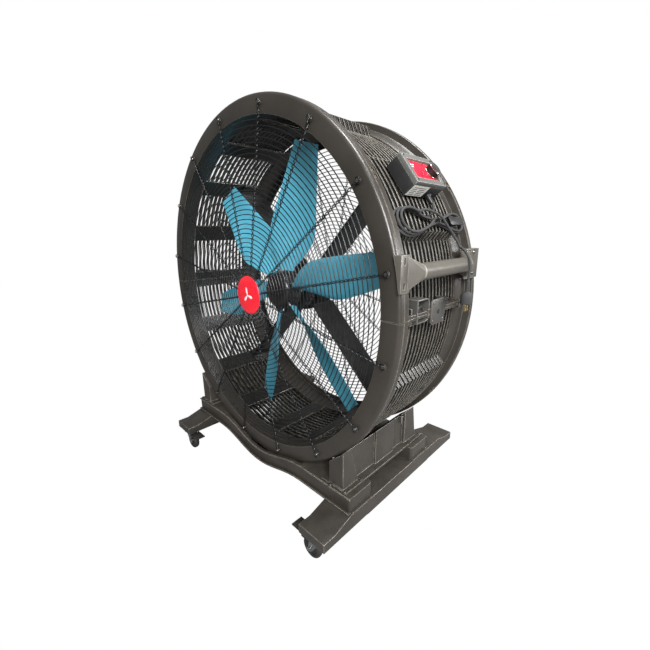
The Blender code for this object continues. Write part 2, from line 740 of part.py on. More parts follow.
def control_box(surfaces, parent):
    """Box, lid, circuit board, speed control and knob; x is the outward normal here."""
    mount = frame("control_mount", rotation=(0, -math.radians(BOX_ANGLE), 0), parent=parent)
    floor = HIGH_RADIUS + 0.001
    rim = floor + BOX_HEIGHT
    low = (BOX_Y, BOX_SHIFT - BOX_WIDTH / 2)
    high = (BOX_Y + BOX_LENGTH, BOX_SHIFT + BOX_WIDTH / 2)
    body = solid(
        "control_box",
        tray(low, high, floor, rim, BOX_WALL, BOX_WALL, floor + BOX_WALL),
        surfaces["black"],
        mount,
        smooth=False,
    )
    lid_base = rim + GAP
    lid_top = lid_base + LID_HEIGHT
    recess = lid_top - LID_RECESS
    lid = solid(
        "control_lid",
        tray(low, high, lid_base, lid_top, LID_MARGIN, LID_MARGIN, recess),
        surfaces["lid"],
        mount,
        smooth=False,
    )
    knob_place = Matrix.Translation((0, KNOB_Y, BOX_SHIFT)) @ Matrix.Rotation(math.radians(-90), 4, "Z")
    bore = KNOB_SHAFT_RADIUS + RUNNING
    hole = turned([(bore, lid_base - 0.002), (bore, lid_top)], 16)
    hole.transform(knob_place)
    cut(lid, hole)
    board = box(
        (floor + BOX_WALL + 0.004, BOX_Y + 0.020, BOX_SHIFT - 0.030),
        (floor + BOX_WALL + 0.0056, BOX_Y + 0.090, BOX_SHIFT + 0.030),
    )
    solid("control_board", board, surfaces["board"], mount, smooth=False)
    shaft_end = recess + 0.5 * KNOB_HEIGHT
    dimmer = solid(
        "speed_control",
        box(
            (lid_base - 0.014, KNOB_Y - 0.012, BOX_SHIFT - 0.012),
            (lid_base - GAP, KNOB_Y + 0.012, BOX_SHIFT + 0.012),
        ),
        surfaces["steel"],
        mount,
    )
    stem = turned([(KNOB_SHAFT_RADIUS, lid_base - 0.004), (KNOB_SHAFT_RADIUS, shaft_end)], 16)
    stem.transform(knob_place)
    join(dimmer, stem)
    profile = [
        (bore, shaft_end + 0.001),
        (bore, recess + 0.001),
        (KNOB_SKIRT_RADIUS, recess + 0.001),
        (KNOB_SKIRT_RADIUS, recess + 0.003),
        (KNOB_RADIUS, recess + 0.0045),
        (KNOB_RADIUS * 0.95, recess + KNOB_HEIGHT),
    ]
    knob = turned([(radius, along) for radius, along in profile], 24)
    knob_axis = frame("knob_axis", location=(0, KNOB_Y, BOX_SHIFT), parent=mount)
    knob.transform(Matrix.Rotation(math.radians(-90), 4, "Z"))
    solid("speed_knob", knob, surfaces["black"], knob_axis)
    gland_x = floor + GLAND_HEIGHT
    outlet = Matrix.Translation((gland_x, GLAND_Y, low[1])) @ Matrix.Rotation(math.radians(-90), 4, "X")
    neck = CORD_DIAMETER * 0.95
    opening = turned([(neck + GAP, -0.006), (neck + GAP, 0.004)], 16)
    opening.transform(outlet)
    cut(body, opening)
    relief = turned(
        [
            (neck, -0.0025),
            (neck, GAP),
            (neck * 1.45, GAP),
            (neck * 1.45, 0.005),
            (neck * 1.05, 0.007),
            (CORD_DIAMETER * 0.62, GLAND_LENGTH),
        ],
        16,
    )
    relief.transform(outlet)
    solid("cord_gland", relief, surfaces["rubber"], mount)


# --- Cord ---------------------------------------------------------------------
def smooth_route(points, per_span=2):
    """Points along a smooth curve through the route's own points."""
    knots = [Vector(point) for point in points]
    knots = [2 * knots[0] - knots[1]] + knots + [2 * knots[-1] - knots[-2]]
    path = []
    for a, b, c, d in zip(knots, knots[1:], knots[2:], knots[3:]):
        for step in range(per_span):
            t = step / per_span
            curve = 2 * b + (c - a) * t
            curve += (2 * a - 5 * b + 4 * c - d) * t * t
            curve += (3 * b - a - 3 * c + d) * t * t * t
            path.append(curve / 2)
    return path + [knots[-2]]


def tube(name, route, surface, parent, per_span=2):
    curve = bpy.data.curves.new(name, "CURVE")
    curve.dimensions = "3D"
    curve.bevel_depth = CORD_DIAMETER / 2
    curve.bevel_resolution = 2
    curve.use_fill_caps = True
    path = smooth_route(route, per_span)
    spline = curve.splines.new("POLY")
    spline.points.add(len(path) - 1)
    for place, point in zip(spline.points, path):
        place.co = (*point, 1.0)
    curve.materials.append(surface)
    obj = bpy.data.objects.new(name, curve)
    obj.parent = parent
    bpy.context.scene.collection.objects.link(obj)
    return obj


def lobe(lobe_sizes, base, count=24):
    """An oval band standing on the x = base plane."""
    y, z, long, high = lobe_sizes
    outline = []
    for shrink in (0.0, LOBE_BAND):
        turns = [2 * math.pi * i / count for i in range(count)]
        outline.append(
            [(y + (long - shrink) * math.cos(t), z + (high - shrink) * math.sin(t)) for t in turns]
        )
    rings = []
    for i in range(count):
        (y0, z0), (y1, z1) = outline[0][i], outline[1][i]
        top = base + HANK_THICKNESS
        rings.append(
            [Vector((base, y0, z0)), Vector((top, y0, z0)), Vector((top, y1, z1)), Vector((base, y1, z1))]
        )
    return skin(rings, closed=True)


def cord(surfaces, parent):
    mount = frame("hank_mount", rotation=(0, -math.radians(HANK_ANGLE), 0), parent=parent)
    base = HIGH_RADIUS + HANK_LIFT
    hank = solid("cord_hank", lobe(LEFT_LOBE, base), surfaces["cord"], mount)
    join(hank, lobe(RIGHT_LOBE, base))
    tube("cord_lead", LEAD_ROUTE, surfaces["cord"], parent)
    tube("cord_tail", TAIL_ROUTE, surfaces["cord"], parent)
    hook_y = RIGHT_LOBE[0] - HOOK_LENGTH / 2
    hook_z = RIGHT_LOBE[1]
    half = HOOK_WIDTH / 2
    foot = HIGH_RADIUS + GAP
    lip_low = base + HANK_THICKNESS + HOOK_PLAY
    post = box((foot, hook_y, hook_z - half), (lip_low + HOOK_LIP / 2, hook_y + HOOK_LENGTH, hook_z + half))
    hook = solid("cord_hook", post, surfaces["black"], mount, smooth=False)
    lip = box(
        (lip_low, hook_y - HOOK_LIP, hook_z - half - HOOK_LIP),
        (lip_low + HOOK_LIP, hook_y + HOOK_LENGTH + HOOK_NOSE, hook_z + half + HOOK_LIP),
    )
    join(hook, lip)


def plug(surfaces, parent):
    place = frame("plug_place", location=PLUG_TOP, parent=parent)
    down = Matrix.Rotation(math.radians(-90), 4, "X")
    relief = RELIEF_LENGTH
    body = turned(
        [
            (CORD_DIAMETER * 0.62, 0.0),
            (CORD_DIAMETER * 0.86, relief),
            (PLUG_RADIUS * 0.80, relief + 0.006),
            (PLUG_RADIUS, relief + 0.014),
            (PLUG_RADIUS, relief + PLUG_LENGTH),
        ],
        20,
    )
    body.transform(down)
    solid("plug_body", body, surfaces["cord"], place)
    top = -(relief + PLUG_LENGTH) - GAP
    for number, side in enumerate((-1, 1)):
        y = side * PRONG_SPACING / 2
        prong = box(
            (-PRONG_WIDTH / 2, y - PRONG_THICKNESS / 2, top - PRONG_LENGTH),
            (PRONG_WIDTH / 2, y + PRONG_THICKNESS / 2, top),
        )
        solid(f"plug_prong_{number + 1}", prong, surfaces["brass"], place, smooth=False)


# --- Base ---------------------------------------------------------------------
def foot(name, side, surface):
    half = FOOT_LENGTH / 2
    ends, middle = CASTER_HEIGHT + FOOT_END_HEIGHT, FOOT_TOP
    skid, sole = FOOT_SKID_LENGTH / 2, CASTER_HEIGHT - FOOT_SKID_DEPTH
    outline = [
        (-half, CASTER_HEIGHT),
        (-skid - FOOT_SKID_DEPTH, CASTER_HEIGHT),
        (-skid, sole),
        (skid, sole),
        (skid + FOOT_SKID_DEPTH, CASTER_HEIGHT),
        (half, CASTER_HEIGHT),
        (half, ends),
        (half - FOOT_FLAT, ends),
        (half - FOOT_FLAT - FOOT_SLOPE, middle),
        (-half + FOOT_FLAT + FOOT_SLOPE, middle),
        (-half + FOOT_FLAT, ends),
        (-half, ends),
    ]
    edges = sorted((side * FOOT_OUTER_X, side * (FOOT_OUTER_X - FOOT_WIDTH)))
    bm = prism(outline, edges[0] + AXIS_X, edges[1] + AXIS_X, axis="X")
    return solid(name, bm, surface, smooth=False)


def beam_outline():
    """The cross-beam seen from the front, with its dip under the drum."""
    reach, end = BEAM_DIP_REACH, FOOT_OUTER_X - BEAM_INSET
    notch = FOOT_OUTER_X - FOOT_WIDTH - GAP
    top, bottom = [], []
    count = 12
    for i in range(count + 1):
        x = -reach + 2 * reach * i / count
        share = 0.5 * (1 + math.cos(math.pi * x / reach))
        top.append((x, BEAM_TOP - BEAM_DIP * share))
        bottom.append((x, FOOT_TOP + GAP - BEAM_BOTTOM_DIP * share))
    lower = [(-end, FOOT_TOP + GAP), (-notch, FOOT_TOP + GAP)] + bottom
    lower += [(notch, FOOT_TOP + GAP), (end, FOOT_TOP + GAP)]
    upper = [(-end, BEAM_TOP)] + top + [(end, BEAM_TOP)]
    return [(x + AXIS_X, z) for x, z in lower + upper[::-1]]


def cross_beam(name, direction, surface):
    """The beam at one end of the drum: direction is -1 in front and 1 behind."""
    edge = BASE_MIDDLE_Y + direction * HALF_BASE
    inner = edge - direction * BEAM_DEPTH
    low, high = sorted((edge, inner))
    beam = solid(name, prism(beam_outline(), low, high), surface, smooth=False)
    low, high = sorted((edge - direction * BEAM_LIP, inner - direction * BEAM_LIP))
    cut(beam, cradle_cutter(low, high))
    return beam


def cradle_cutter(low_y, high_y):
    """The space of the drum's rim, with its clearance."""
    radius = RIM_RADIUS + RIM_CLEARANCE
    bm = turned([(radius, low_y), (radius, high_y)], 96)
    bm.transform(Matrix.Translation((AXIS_X, 0, AXIS_Z)))
    return bm


def support(name, side, surface):
    """The moulding that holds one side of the drum, on top of the two cross-beams."""
    front = BASE_MIDDLE_Y - HALF_BASE
    back = BASE_MIDDLE_Y + HALF_BASE
    floor = BEAM_TOP + GAP
    outer = FOOT_OUTER_X - BEAM_INSET - SUPPORT_INSET
    plate_top = floor + SUPPORT_PLATE
    top = plate_top + SUPPORT_HEIGHT
    face = outer - COLUMN_INSET
    web_face = face - WEB_INSET
    sunk = plate_top - SUPPORT_PLATE / 2
    rear_column = FACE_Y + REAR_COLUMN_Y

    def block(near_x, far_x, low_y, high_y, low_z, high_z):
        xs = sorted((side * near_x + AXIS_X, side * far_x + AXIS_X))
        return box((xs[0], low_y, low_z), (xs[1], high_y, high_z))

    def column(near_y, foot_y, head_y):
        points = []
        for z, far_y in ((sunk, foot_y), (top + 0.002, head_y)):
            for x in (face - COLUMN_THICKNESS, face):
                for y in (near_y, far_y):
                    points.append(Vector((side * x + AXIS_X, y, z)))
        return hull(points)

    plate = block(
        outer - SUPPORT_PLATE_WIDTH,
        outer,
        front + SUPPORT_MARGIN_Y,
        back - SUPPORT_MARGIN_Y,
        floor,
        plate_top,
    )
    made = solid(name, plate, surface, smooth=False)
    near = front + COLUMN_MARGIN_Y
    web_ends = (near + FRONT_COLUMN_HEAD / 2, rear_column + REAR_COLUMN_HEAD / 2)
    join(made, block(web_face - WEB_THICKNESS, web_face, *web_ends, sunk, top))
    middle = BASE_MIDDLE_Y - MID_PLATE_WIDTH / 2, BASE_MIDDLE_Y + MID_PLATE_WIDTH / 2
    proud = web_face + MID_PLATE_PROUD
    join(made, block(web_face - MID_PLATE_PROUD, proud, *middle, sunk, top - 0.001))
    join(made, column(near, near + FRONT_COLUMN_FOOT, near + FRONT_COLUMN_HEAD))
    join(made, column(rear_column, rear_column + REAR_COLUMN_FOOT, rear_column + REAR_COLUMN_HEAD))
    cut(made, cradle_cutter(front - BEAM_OVERHANG, back + BEAM_OVERHANG))
    return made


# --- Casters ------------------------------------------------------------------
def caster(place, x, y, side, braked, surfaces):
    """A swivel caster that trails towards the middle; its wheel rolls along x at rest."""
    swivel = frame(f"swivel_{place}", location=(x + AXIS_X, y, 0))
    trail = -side * CASTER_TRAIL
    top = CASTER_HEIGHT - GAP
    crown_low = top - CROWN_HEIGHT
    inner = WHEEL_WIDTH / 2 + WHEEL_PLAY
    outer = inner + CHEEK_THICKNESS
    crown = turned([(CROWN_RADIUS, -top), (CROWN_RADIUS, -crown_low)], 20)
    crown.transform(Matrix.Rotation(math.radians(-90), 4, "X"))
    fork = solid(f"caster_fork_{place}", crown, surfaces["zinc"], swivel)
    boss = AXLE_RADIUS * 2.4
    head = CROWN_RADIUS * 0.80
    for direction in (-1, 1):
        ys = sorted((direction * inner, direction * outer))
        outline = [
            (-head, crown_low + CROWN_HEIGHT / 2),
            (trail - boss, WHEEL_RADIUS - boss * 0.5),
            (trail - boss * 0.6, WHEEL_RADIUS - boss),
            (trail + boss * 0.6, WHEEL_RADIUS - boss),
            (trail + boss, WHEEL_RADIUS - boss * 0.5),
            (head, crown_low + CROWN_HEIGHT / 2),
        ]
        join(fork, prism(outline, ys[0], ys[1]))
    axle_place = Matrix.Translation((trail, 0, WHEEL_RADIUS))
    bore_radius = AXLE_RADIUS + RUNNING
    end = outer + 0.002
    bore = turned([(bore_radius, -end - 0.001), (bore_radius, end + 0.001)], 16)
    bore.transform(axle_place)
    cut(fork, bore)
    axle = turned([(AXLE_RADIUS, -end), (AXLE_RADIUS, end)], 16)
    axle.transform(axle_place)
    solid(f"caster_axle_{place}", axle, surfaces["zinc"], swivel)
    wheel_axis = frame(f"axle_{place}", location=(trail, 0, WHEEL_RADIUS), parent=swivel)
    half = WHEEL_WIDTH / 2
    tread = [
        (bore_radius, -half),
        (WHEEL_RADIUS - 0.005, -half),
        (WHEEL_RADIUS, -half + 0.006),
        (WHEEL_RADIUS, half - 0.006),
        (WHEEL_RADIUS - 0.005, half),
        (bore_radius, half),
    ]
    solid(f"caster_wheel_{place}", revolved(tread, step=15), surfaces["rubber"], wheel_axis)
    if braked:
        pedal_lugs(fork, -side, crown_low + CROWN_HEIGHT / 2, inner, outer)
        brake_pedal(place, -side, outer, swivel, surfaces["black"])


def pedal_pivot(inward):
    return (inward * (CASTER_TRAIL + PEDAL_SETBACK), 0, 2 * WHEEL_RADIUS - PEDAL_DROP)


def pedal_lugs(fork, inward, root_z, inner, outer):
    """Two ears on the fork's cheeks with the bore of the pedal's pin."""
    x, _, z = pedal_pivot(inward)
    reach = 2 * PEDAL_PIN_RADIUS
    outline = [
        (0, root_z),
        (0, root_z - CROWN_HEIGHT),
        (x - inward * reach, z - reach),
        (x + inward * reach, z - reach),
        (x + inward * reach, z + reach / 2),
        (x, z + reach),
    ]
    for direction in (-1, 1):
        ys = sorted((direction * inner, direction * outer))
        join(fork, prism(outline, *ys))
    radius = PEDAL_PIN_RADIUS + RUNNING
    bore = turned([(radius, -outer - WHEEL_PLAY), (radius, outer + WHEEL_PLAY)], 12)
    bore.transform(Matrix.Translation((x, 0, z)))
    cut(fork, bore)


def brake_pedal(place, inward, cheek, swivel, surface):
    """A U-shaped lever hinged beside the wheel, pressed down at its far end."""
    hinge = frame(f"pedal_{place}_hinge", location=pedal_pivot(inward), parent=swivel)
    ear = cheek + WHEEL_PLAY
    plate_low = PEDAL_DROP + WHEEL_PLAY + PEDAL_PIN_RADIUS
    plate_high = plate_low + PEDAL_THICKNESS
    half = PEDAL_WIDTH / 2

    def block(near_x, far_x, low_y, high_y, low_z, high_z):
        xs = sorted((inward * near_x, inward * far_x))
        return box((xs[0], low_y, low_z), (xs[1], high_y, high_z))

    plate = block(PEDAL_EAR, PEDAL_EAR + PEDAL_LENGTH, -half, half, plate_low, plate_high)
    made = solid(f"brake_pedal_{place}", plate, surface, hinge, smooth=False)
    for direction in (-1, 1):
        ys = sorted((direction * ear, direction * half))
        join(made, block(-PEDAL_EAR, 2 * PEDAL_EAR, *ys, -PEDAL_EAR, plate_high - 0.001))
    pin_end = (ear + half) / 2
    join(made, turned([(PEDAL_PIN_RADIUS, -pin_end), (PEDAL_PIN_RADIUS, pin_end)], 12))


# --- The whole fan ------------------------------------------------------------
def build():
    clear_scene()
    surfaces = {
        "housing": material("housing", (0.075, 0.065, 0.055), 0.55),
        "base": material("base", (0.070, 0.062, 0.054), 0.6),
        "guard": material("guard_wire", (0.02, 0.02, 0.02), 0.4),
        "black": material("black_plastic", (0.03, 0.03, 0.032), 0.5),
        "gloss": material("gloss_black", (0.015, 0.015, 0.015), 0.12),
        "blade": material("blade_teal", (0.08, 0.38, 0.48), 0.45),
        "badge": material("badge_red", (0.85, 0.03, 0.06), 0.4),
        "grey": material("handle_grey", (0.16, 0.15, 0.14), 0.5),
        "lid": material("lid_grey", (0.22, 0.24, 0.24), 0.5),
        "steel": material("steel", (0.5, 0.5, 0.5), 0.35, 1.0),
        "zinc": material("zinc", (0.3, 0.3, 0.3), 0.4, 1.0),
        "board": material("circuit_board", (0.03, 0.2, 0.08), 0.5),
        "cord": material("cord_rubber", (0.03, 0.03, 0.03), 0.5),
        "rubber": material("rubber", (0.02, 0.02, 0.02), 0.7),
        "brass": material("brass", (0.75, 0.6, 0.3), 0.3, 1.0),
    }
    drum = frame("drum_axis", location=(AXIS_X, FACE_Y, AXIS_Z))
    drum_half("drum_upper", 0, surfaces["housing"], drum)
    drum_half("drum_lower", 180, surfaces["housing"], drum)
    front_y = FRONT_FACE_Y - GAP - GUARD_THICKNESS / 2
    eyelet_radius = RIM_RADIUS - EYELET_INSET
    guard("front_guard", FRONT_GUARD_RINGS, eyelet_radius, front_y, surfaces["guard"], drum)
    rear_y = DRUM_BACK_Y + GAP + GUARD_THICKNESS / 2
    guard("rear_guard", REAR_GUARD_RINGS, REAR_MOUTH_RADIUS + 0.015, rear_y, surfaces["guard"], drum)
    badge_y = FRONT_FACE_Y - 2 * GAP - GUARD_THICKNESS
    badge = turned([(BADGE_RADIUS, badge_y - BADGE_THICKNESS), (BADGE_RADIUS, badge_y)])
    solid("badge", badge, surfaces["badge"], drum)
    rotor_axis = frame("rotor_axis", parent=drum)
    rotor(surfaces, rotor_axis)
    motor(surfaces, drum)
    spider(surfaces["black"], drum)
    handle(surfaces, drum)
    joint_plate("joint_plate_right", 1, surfaces["grey"], drum)
    joint_plate("joint_plate_left", -1, surfaces["grey"], drum)
    control_box(surfaces, drum)
    cord(surfaces, drum)
    plug(surfaces, drum)
    for name, side in (("right", 1), ("left", -1)):
        foot(f"foot_{name}", side, surfaces["base"])
        support(f"side_support_{name}", side, surfaces["base"])
    cross_beam("cross_beam_front", -1, surfaces["base"])
    cross_beam("cross_beam_rear", 1, surfaces["base"])
    caster_x = FOOT_OUTER_X - FOOT_WIDTH / 2
    caster_y = FOOT_LENGTH / 2 - CASTER_SETBACK
    for depth, y in (("front", -caster_y), ("rear", caster_y)):
        for hand, side in (("right", 1), ("left", -1)):
            caster(f"{depth}_{hand}", side * caster_x, y, side, depth == "front", surfaces)


build()
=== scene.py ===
"""Wheeled drum fan: the visual model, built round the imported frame.

Lengths are in metres and angles in degrees.  Drum pieces are drawn in the drum's
own space: x right, y towards the back, z up, with the origin on the drum's axis
in the plane of the front guard's eyelets.  An angle there runs from +x to +z.
"""

import json
import logging
import math
from dataclasses import dataclass
from enum import Enum
from typing import Callable, Iterable, Sequence

import bmesh
import bpy
from mathutils import Matrix, Vector

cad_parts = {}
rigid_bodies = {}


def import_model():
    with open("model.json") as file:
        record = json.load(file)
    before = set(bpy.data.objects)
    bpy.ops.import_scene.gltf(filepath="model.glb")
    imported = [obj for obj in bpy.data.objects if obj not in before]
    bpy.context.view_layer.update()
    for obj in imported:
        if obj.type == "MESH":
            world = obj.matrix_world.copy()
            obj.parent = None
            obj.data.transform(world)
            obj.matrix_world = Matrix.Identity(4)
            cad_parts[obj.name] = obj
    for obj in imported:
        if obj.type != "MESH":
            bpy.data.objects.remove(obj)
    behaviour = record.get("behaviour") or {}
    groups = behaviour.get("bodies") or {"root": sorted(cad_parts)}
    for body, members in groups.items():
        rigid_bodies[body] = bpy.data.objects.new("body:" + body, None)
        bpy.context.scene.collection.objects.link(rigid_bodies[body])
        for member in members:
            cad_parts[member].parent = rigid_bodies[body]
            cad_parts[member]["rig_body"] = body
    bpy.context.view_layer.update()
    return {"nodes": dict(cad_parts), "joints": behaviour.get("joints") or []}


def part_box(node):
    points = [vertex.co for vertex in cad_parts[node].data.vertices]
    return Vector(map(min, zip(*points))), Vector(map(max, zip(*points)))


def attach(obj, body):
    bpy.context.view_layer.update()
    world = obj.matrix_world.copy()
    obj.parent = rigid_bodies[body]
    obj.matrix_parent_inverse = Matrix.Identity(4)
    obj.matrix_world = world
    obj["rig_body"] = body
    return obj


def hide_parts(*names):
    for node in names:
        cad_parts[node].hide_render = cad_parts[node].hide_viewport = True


for leftover in list(bpy.data.objects):
    bpy.data.objects.remove(leftover)
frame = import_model()
LOG = logging.getLogger("drum_fan")
Point = tuple[float, float, float]
Flat = tuple[float, float]

# --- Places taken from the frame ----------------------------------------------
JOINTS = {joint["name"]: joint for joint in frame["joints"]}
AXIS_X, _, AXIS_Z = JOINTS["rotor_spin"]["pos_m"]
FACE_STANDOFF = 0.0035  # front ring in front of the eyelet plane
FACE_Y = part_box("drum_upper")[0].y + FACE_STANDOFF
DRUM = Matrix.Translation((AXIS_X, FACE_Y, AXIS_Z))
CAST_FRAME = "fan_frame"


# --- Finishes -----------------------------------------------------------------
class Slot(Enum):
    """The record's material slots."""

    HOUSING = "housing"
    BASE = "base"
    WIRE = "guard_wire"
    BLACK = "black_plastic"
    GLOSS = "gloss_black"
    BLADE = "blade_teal"
    BADGE = "badge_red"
    HANDLE = "handle_grey"
    LID = "lid_grey"
    STEEL = "steel"
    ZINC = "zinc"
    BOARD = "circuit_board"
    CORD = "cord_rubber"
    TYRE = "caster_rubber"
    BRASS = "brass"


def linear(red: int, green: int, blue: int) -> tuple[float, float, float, float]:
    """Turns a display colour of 0 to 255 into the linear colour that a socket takes."""
    channels = []
    for value in (red, green, blue):
        share = value / 255
        channels.append(share / 12.92 if share <= 0.04045 else ((share + 0.055) / 1.055) ** 2.4)
    return (*channels, 1.0)


NODE_SETTINGS = {"operation", "data_type", "node_tree"}


class Graph:
    """A node tree that is being wired up."""

    def __init__(self, tree: bpy.types.NodeTree) -> None:
        """Starts on an empty tree.

        Args:
            tree: The tree of a material or of a node group.
        """
        self.tree = tree
        tree.nodes.clear()

    def add(self, kind: str, **inputs: object) -> bpy.types.Node:
        """Adds a node and sets its inputs.

        Args:
            kind: The node's type, without the ShaderNode prefix.
            inputs: Values or sockets, by input name with _ for a space, or as in0, in1 by place.

        Returns:
            The node.
        """
        name = kind if kind.startswith("NodeGroup") else f"ShaderNode{kind}"
        node = self.tree.nodes.new(name)
        for key in NODE_SETTINGS & inputs.keys():
            setattr(node, key, inputs.pop(key))
        for key, value in inputs.items():
            numbered = key[:2] == "in" and key[2:].isdigit()
            socket = node.inputs[int(key[2:])] if numbered else node.inputs[key.replace("_", " ")]
            if isinstance(value, bpy.types.NodeSocket):
                self.tree.links.new(value, socket)
            else:
                socket.default_value = value
        return node


def shader_group(name: str, inputs: dict[str, float], output: str) -> tuple[Graph, bpy.types.Node]:
    """Starts a shader node group with value inputs and one value output.

    Args:
        name: The group's name.
        inputs: Default of each input.
        output: The output's name.

    Returns:
        The group's graph and its input node.
    """
    tree = bpy.data.node_groups.new(name, "ShaderNodeTree")
    for key, default in inputs.items():
        socket = tree.interface.new_socket(key, in_out="INPUT", socket_type="NodeSocketFloat")
        socket.default_value = default
    tree.interface.new_socket(output, in_out="OUTPUT", socket_type="NodeSocketFloat")
    graph = Graph(tree)
    return graph, graph.add("NodeGroupInput")


def close_group(graph: Graph, value: bpy.types.NodeSocket) -> bpy.types.NodeTree:
    """Wires a value to the group's output and returns the group."""
    graph.add("NodeGroupOutput", in0=value)
    return graph.tree


def noise(graph: Graph, scale: object, detail: float = 3.0) -> bpy.types.NodeSocket:
    """Adds noise on object coordinates and returns its value socket."""
    place = graph.add("TexCoord").outputs["Object"]
    return graph.add("TexNoise", Vector=place, Scale=scale, Detail=detail).outputs[0]


def fine_grain() -> bpy.types.NodeTree:
    """Height of a moulded or cast grain."""
    graph, given = shader_group("fine_grain", {"Scale": 800.0, "Depth": 1.0}, "Height")
    grain = noise(graph, given.outputs["Scale"], 4.0)
    height = graph.add("Math", operation="MULTIPLY", in0=grain, in1=given.outputs["Depth"])
    return close_group(graph, height.outputs[0])


def patchy() -> bpy.types.NodeTree:
    """Mask of soft patches, for colour and gloss that vary over a surface."""
    graph, given = shader_group("patchy", {"Scale": 8.0, "Amount": 0.5}, "Mask")
    cloud = noise(graph, given.outputs["Scale"])
    spread = graph.add("MapRange", Value=cloud, From_Min=0.35, From_Max=0.65)
    mask = graph.add(
        "Math", operation="MULTIPLY", in0=spread.outputs[0], in1=given.outputs["Amount"]
    )
    return close_group(graph, mask.outputs[0])


def edge_wear_and_highlight() -> bpy.types.NodeTree:
    """Mask of rubbed edges and painted highlight lines along edges, where a rounded normal leaves
    the flat one, broken up by noise.
    """
    graph, given = shader_group("edge_wear_and_highlight", {"Amount": 0.5}, "Mask")
    normal = graph.add("NewGeometry").outputs["Normal"]
    rounded_normal = graph.add("Bevel", Radius=0.0026).outputs[0]
    facing = graph.add("VectorMath", operation="DOT_PRODUCT", in0=normal, in1=rounded_normal)
    # Edges lightened by this mask are partly rubbed wear and partly painted highlight lines.
    edge = graph.add(
        "MapRange", Value=facing.outputs["Value"], From_Min=0.995, From_Max=0.93
    ).outputs[0]
    edge_breakup = graph.add("MapRange", Value=noise(graph, 60.0), From_Min=0.25, From_Max=0.5)
    both = graph.add("Math", operation="MULTIPLY", in0=edge, in1=edge_breakup.outputs[0])
    mask = graph.add("Math", operation="MULTIPLY", in0=both.outputs[0], in1=given.outputs["Amount"])
    return close_group(graph, mask.outputs[0])


def settled_dust() -> bpy.types.NodeTree:
    """Mask of dust on faces that look up."""
    graph, given = shader_group("settled_dust", {"Amount": 0.3}, "Mask")
    normal = graph.add("NewGeometry").outputs["Normal"]
    up = graph.add("SeparateXYZ", Vector=normal).outputs["Z"]
    level = graph.add("MapRange", Value=up, From_Min=0.35, From_Max=1.0).outputs[0]
    cloud = graph.add("MapRange", Value=noise(graph, 25.0), From_Min=0.3, From_Max=0.7)
    both = graph.add("Math", operation="MULTIPLY", in0=level, in1=cloud.outputs[0])
    mask = graph.add("Math", operation="MULTIPLY", in0=both.outputs[0], in1=given.outputs["Amount"])
    return close_group(graph, mask.outputs[0])


DUST = (150, 143, 132)
EFFECTS = {build.__name__: build() for build in (fine_grain, patchy, edge_wear_and_highlight, settled_dust)}


@dataclass(frozen=True)
class Finish:
    """A surface: its colours, gloss, grain, edge wear with painted edge highlights, and dust."""

    name: str
    slot: Slot
    colour: tuple[int, int, int]
    patch: tuple[int, int, int]
    roughness: float
    gloss_spread: float = 0.08
    metallic: float = 0.0
    coat: float = 0.0
    grain_scale: float = 900.0
    grain_depth: float = 0.25
    patch_scale: float = 7.0
    # Amount and colour of the lighter edges: rubbed wear and painted edge highlight.
    wear_and_highlight: float = 0.0
    worn_and_lit: tuple[int, int, int] = (150, 145, 138)
    dust: float = 0.0

    def material(self) -> bpy.types.Material:
        """Returns the finish's material, made at its first use."""
        known = bpy.data.materials.get(self.name)
        return known if known else self.build()

    def build(self) -> bpy.types.Material:
        """Wires the material.

        Returns:
            The material.
        """
        made = bpy.data.materials.new(self.name)
        made.use_nodes = True
        graph = Graph(made.node_tree)

        def effect(name: str, **inputs: float) -> bpy.types.NodeSocket:
            """Places one of the shared groups and returns its output."""
            node = graph.add("Group", node_tree=EFFECTS[name], **inputs)
            return node.outputs[0]

        patches = effect("patchy", Scale=self.patch_scale, Amount=1.0)
        colour = self.mixed(graph, patches, linear(*self.colour), linear(*self.patch))
        # Lighter edges, partly rubbed wear and partly painted highlight lines along the edges.
        if self.wear_and_highlight:
            worn_and_lit = effect("edge_wear_and_highlight", Amount=self.wear_and_highlight)
            colour = self.mixed(graph, worn_and_lit, colour, linear(*self.worn_and_lit))
        if self.dust:
            dust = effect("settled_dust", Amount=self.dust)
            colour = self.mixed(graph, dust, colour, linear(*DUST))
        gloss = graph.add(
            "MapRange",
            Value=effect("patchy", Scale=self.patch_scale * 5, Amount=1.0),
            To_Min=self.roughness - self.gloss_spread,
            To_Max=self.roughness + self.gloss_spread,
        )
        height = effect("fine_grain", Scale=self.grain_scale, Depth=self.grain_depth)
        bump = graph.add("Bump", Height=height, Distance=0.0006, Strength=0.6)
        shader = graph.add(
            "BsdfPrincipled",
            Base_Color=colour,
            Metallic=self.metallic,
            Roughness=gloss.outputs[0],
            Coat_Weight=self.coat,
            Coat_Roughness=0.08,
            Normal=bump.outputs[0],
        )
        graph.add("OutputMaterial", Surface=shader.outputs[0])
        return made

    @staticmethod
    def mixed(graph: Graph, mask: object, first: object, second: object) -> bpy.types.NodeSocket:
        """Mixes two colours by a mask and returns the colour socket."""
        node = graph.add("Mix", data_type="RGBA", in0=mask)
        for place, value in ((6, first), (7, second)):
            if isinstance(value, bpy.types.NodeSocket):
                graph.tree.links.new(value, node.inputs[place])
            else:
                node.inputs[place].default_value = value
        return node.outputs[2]


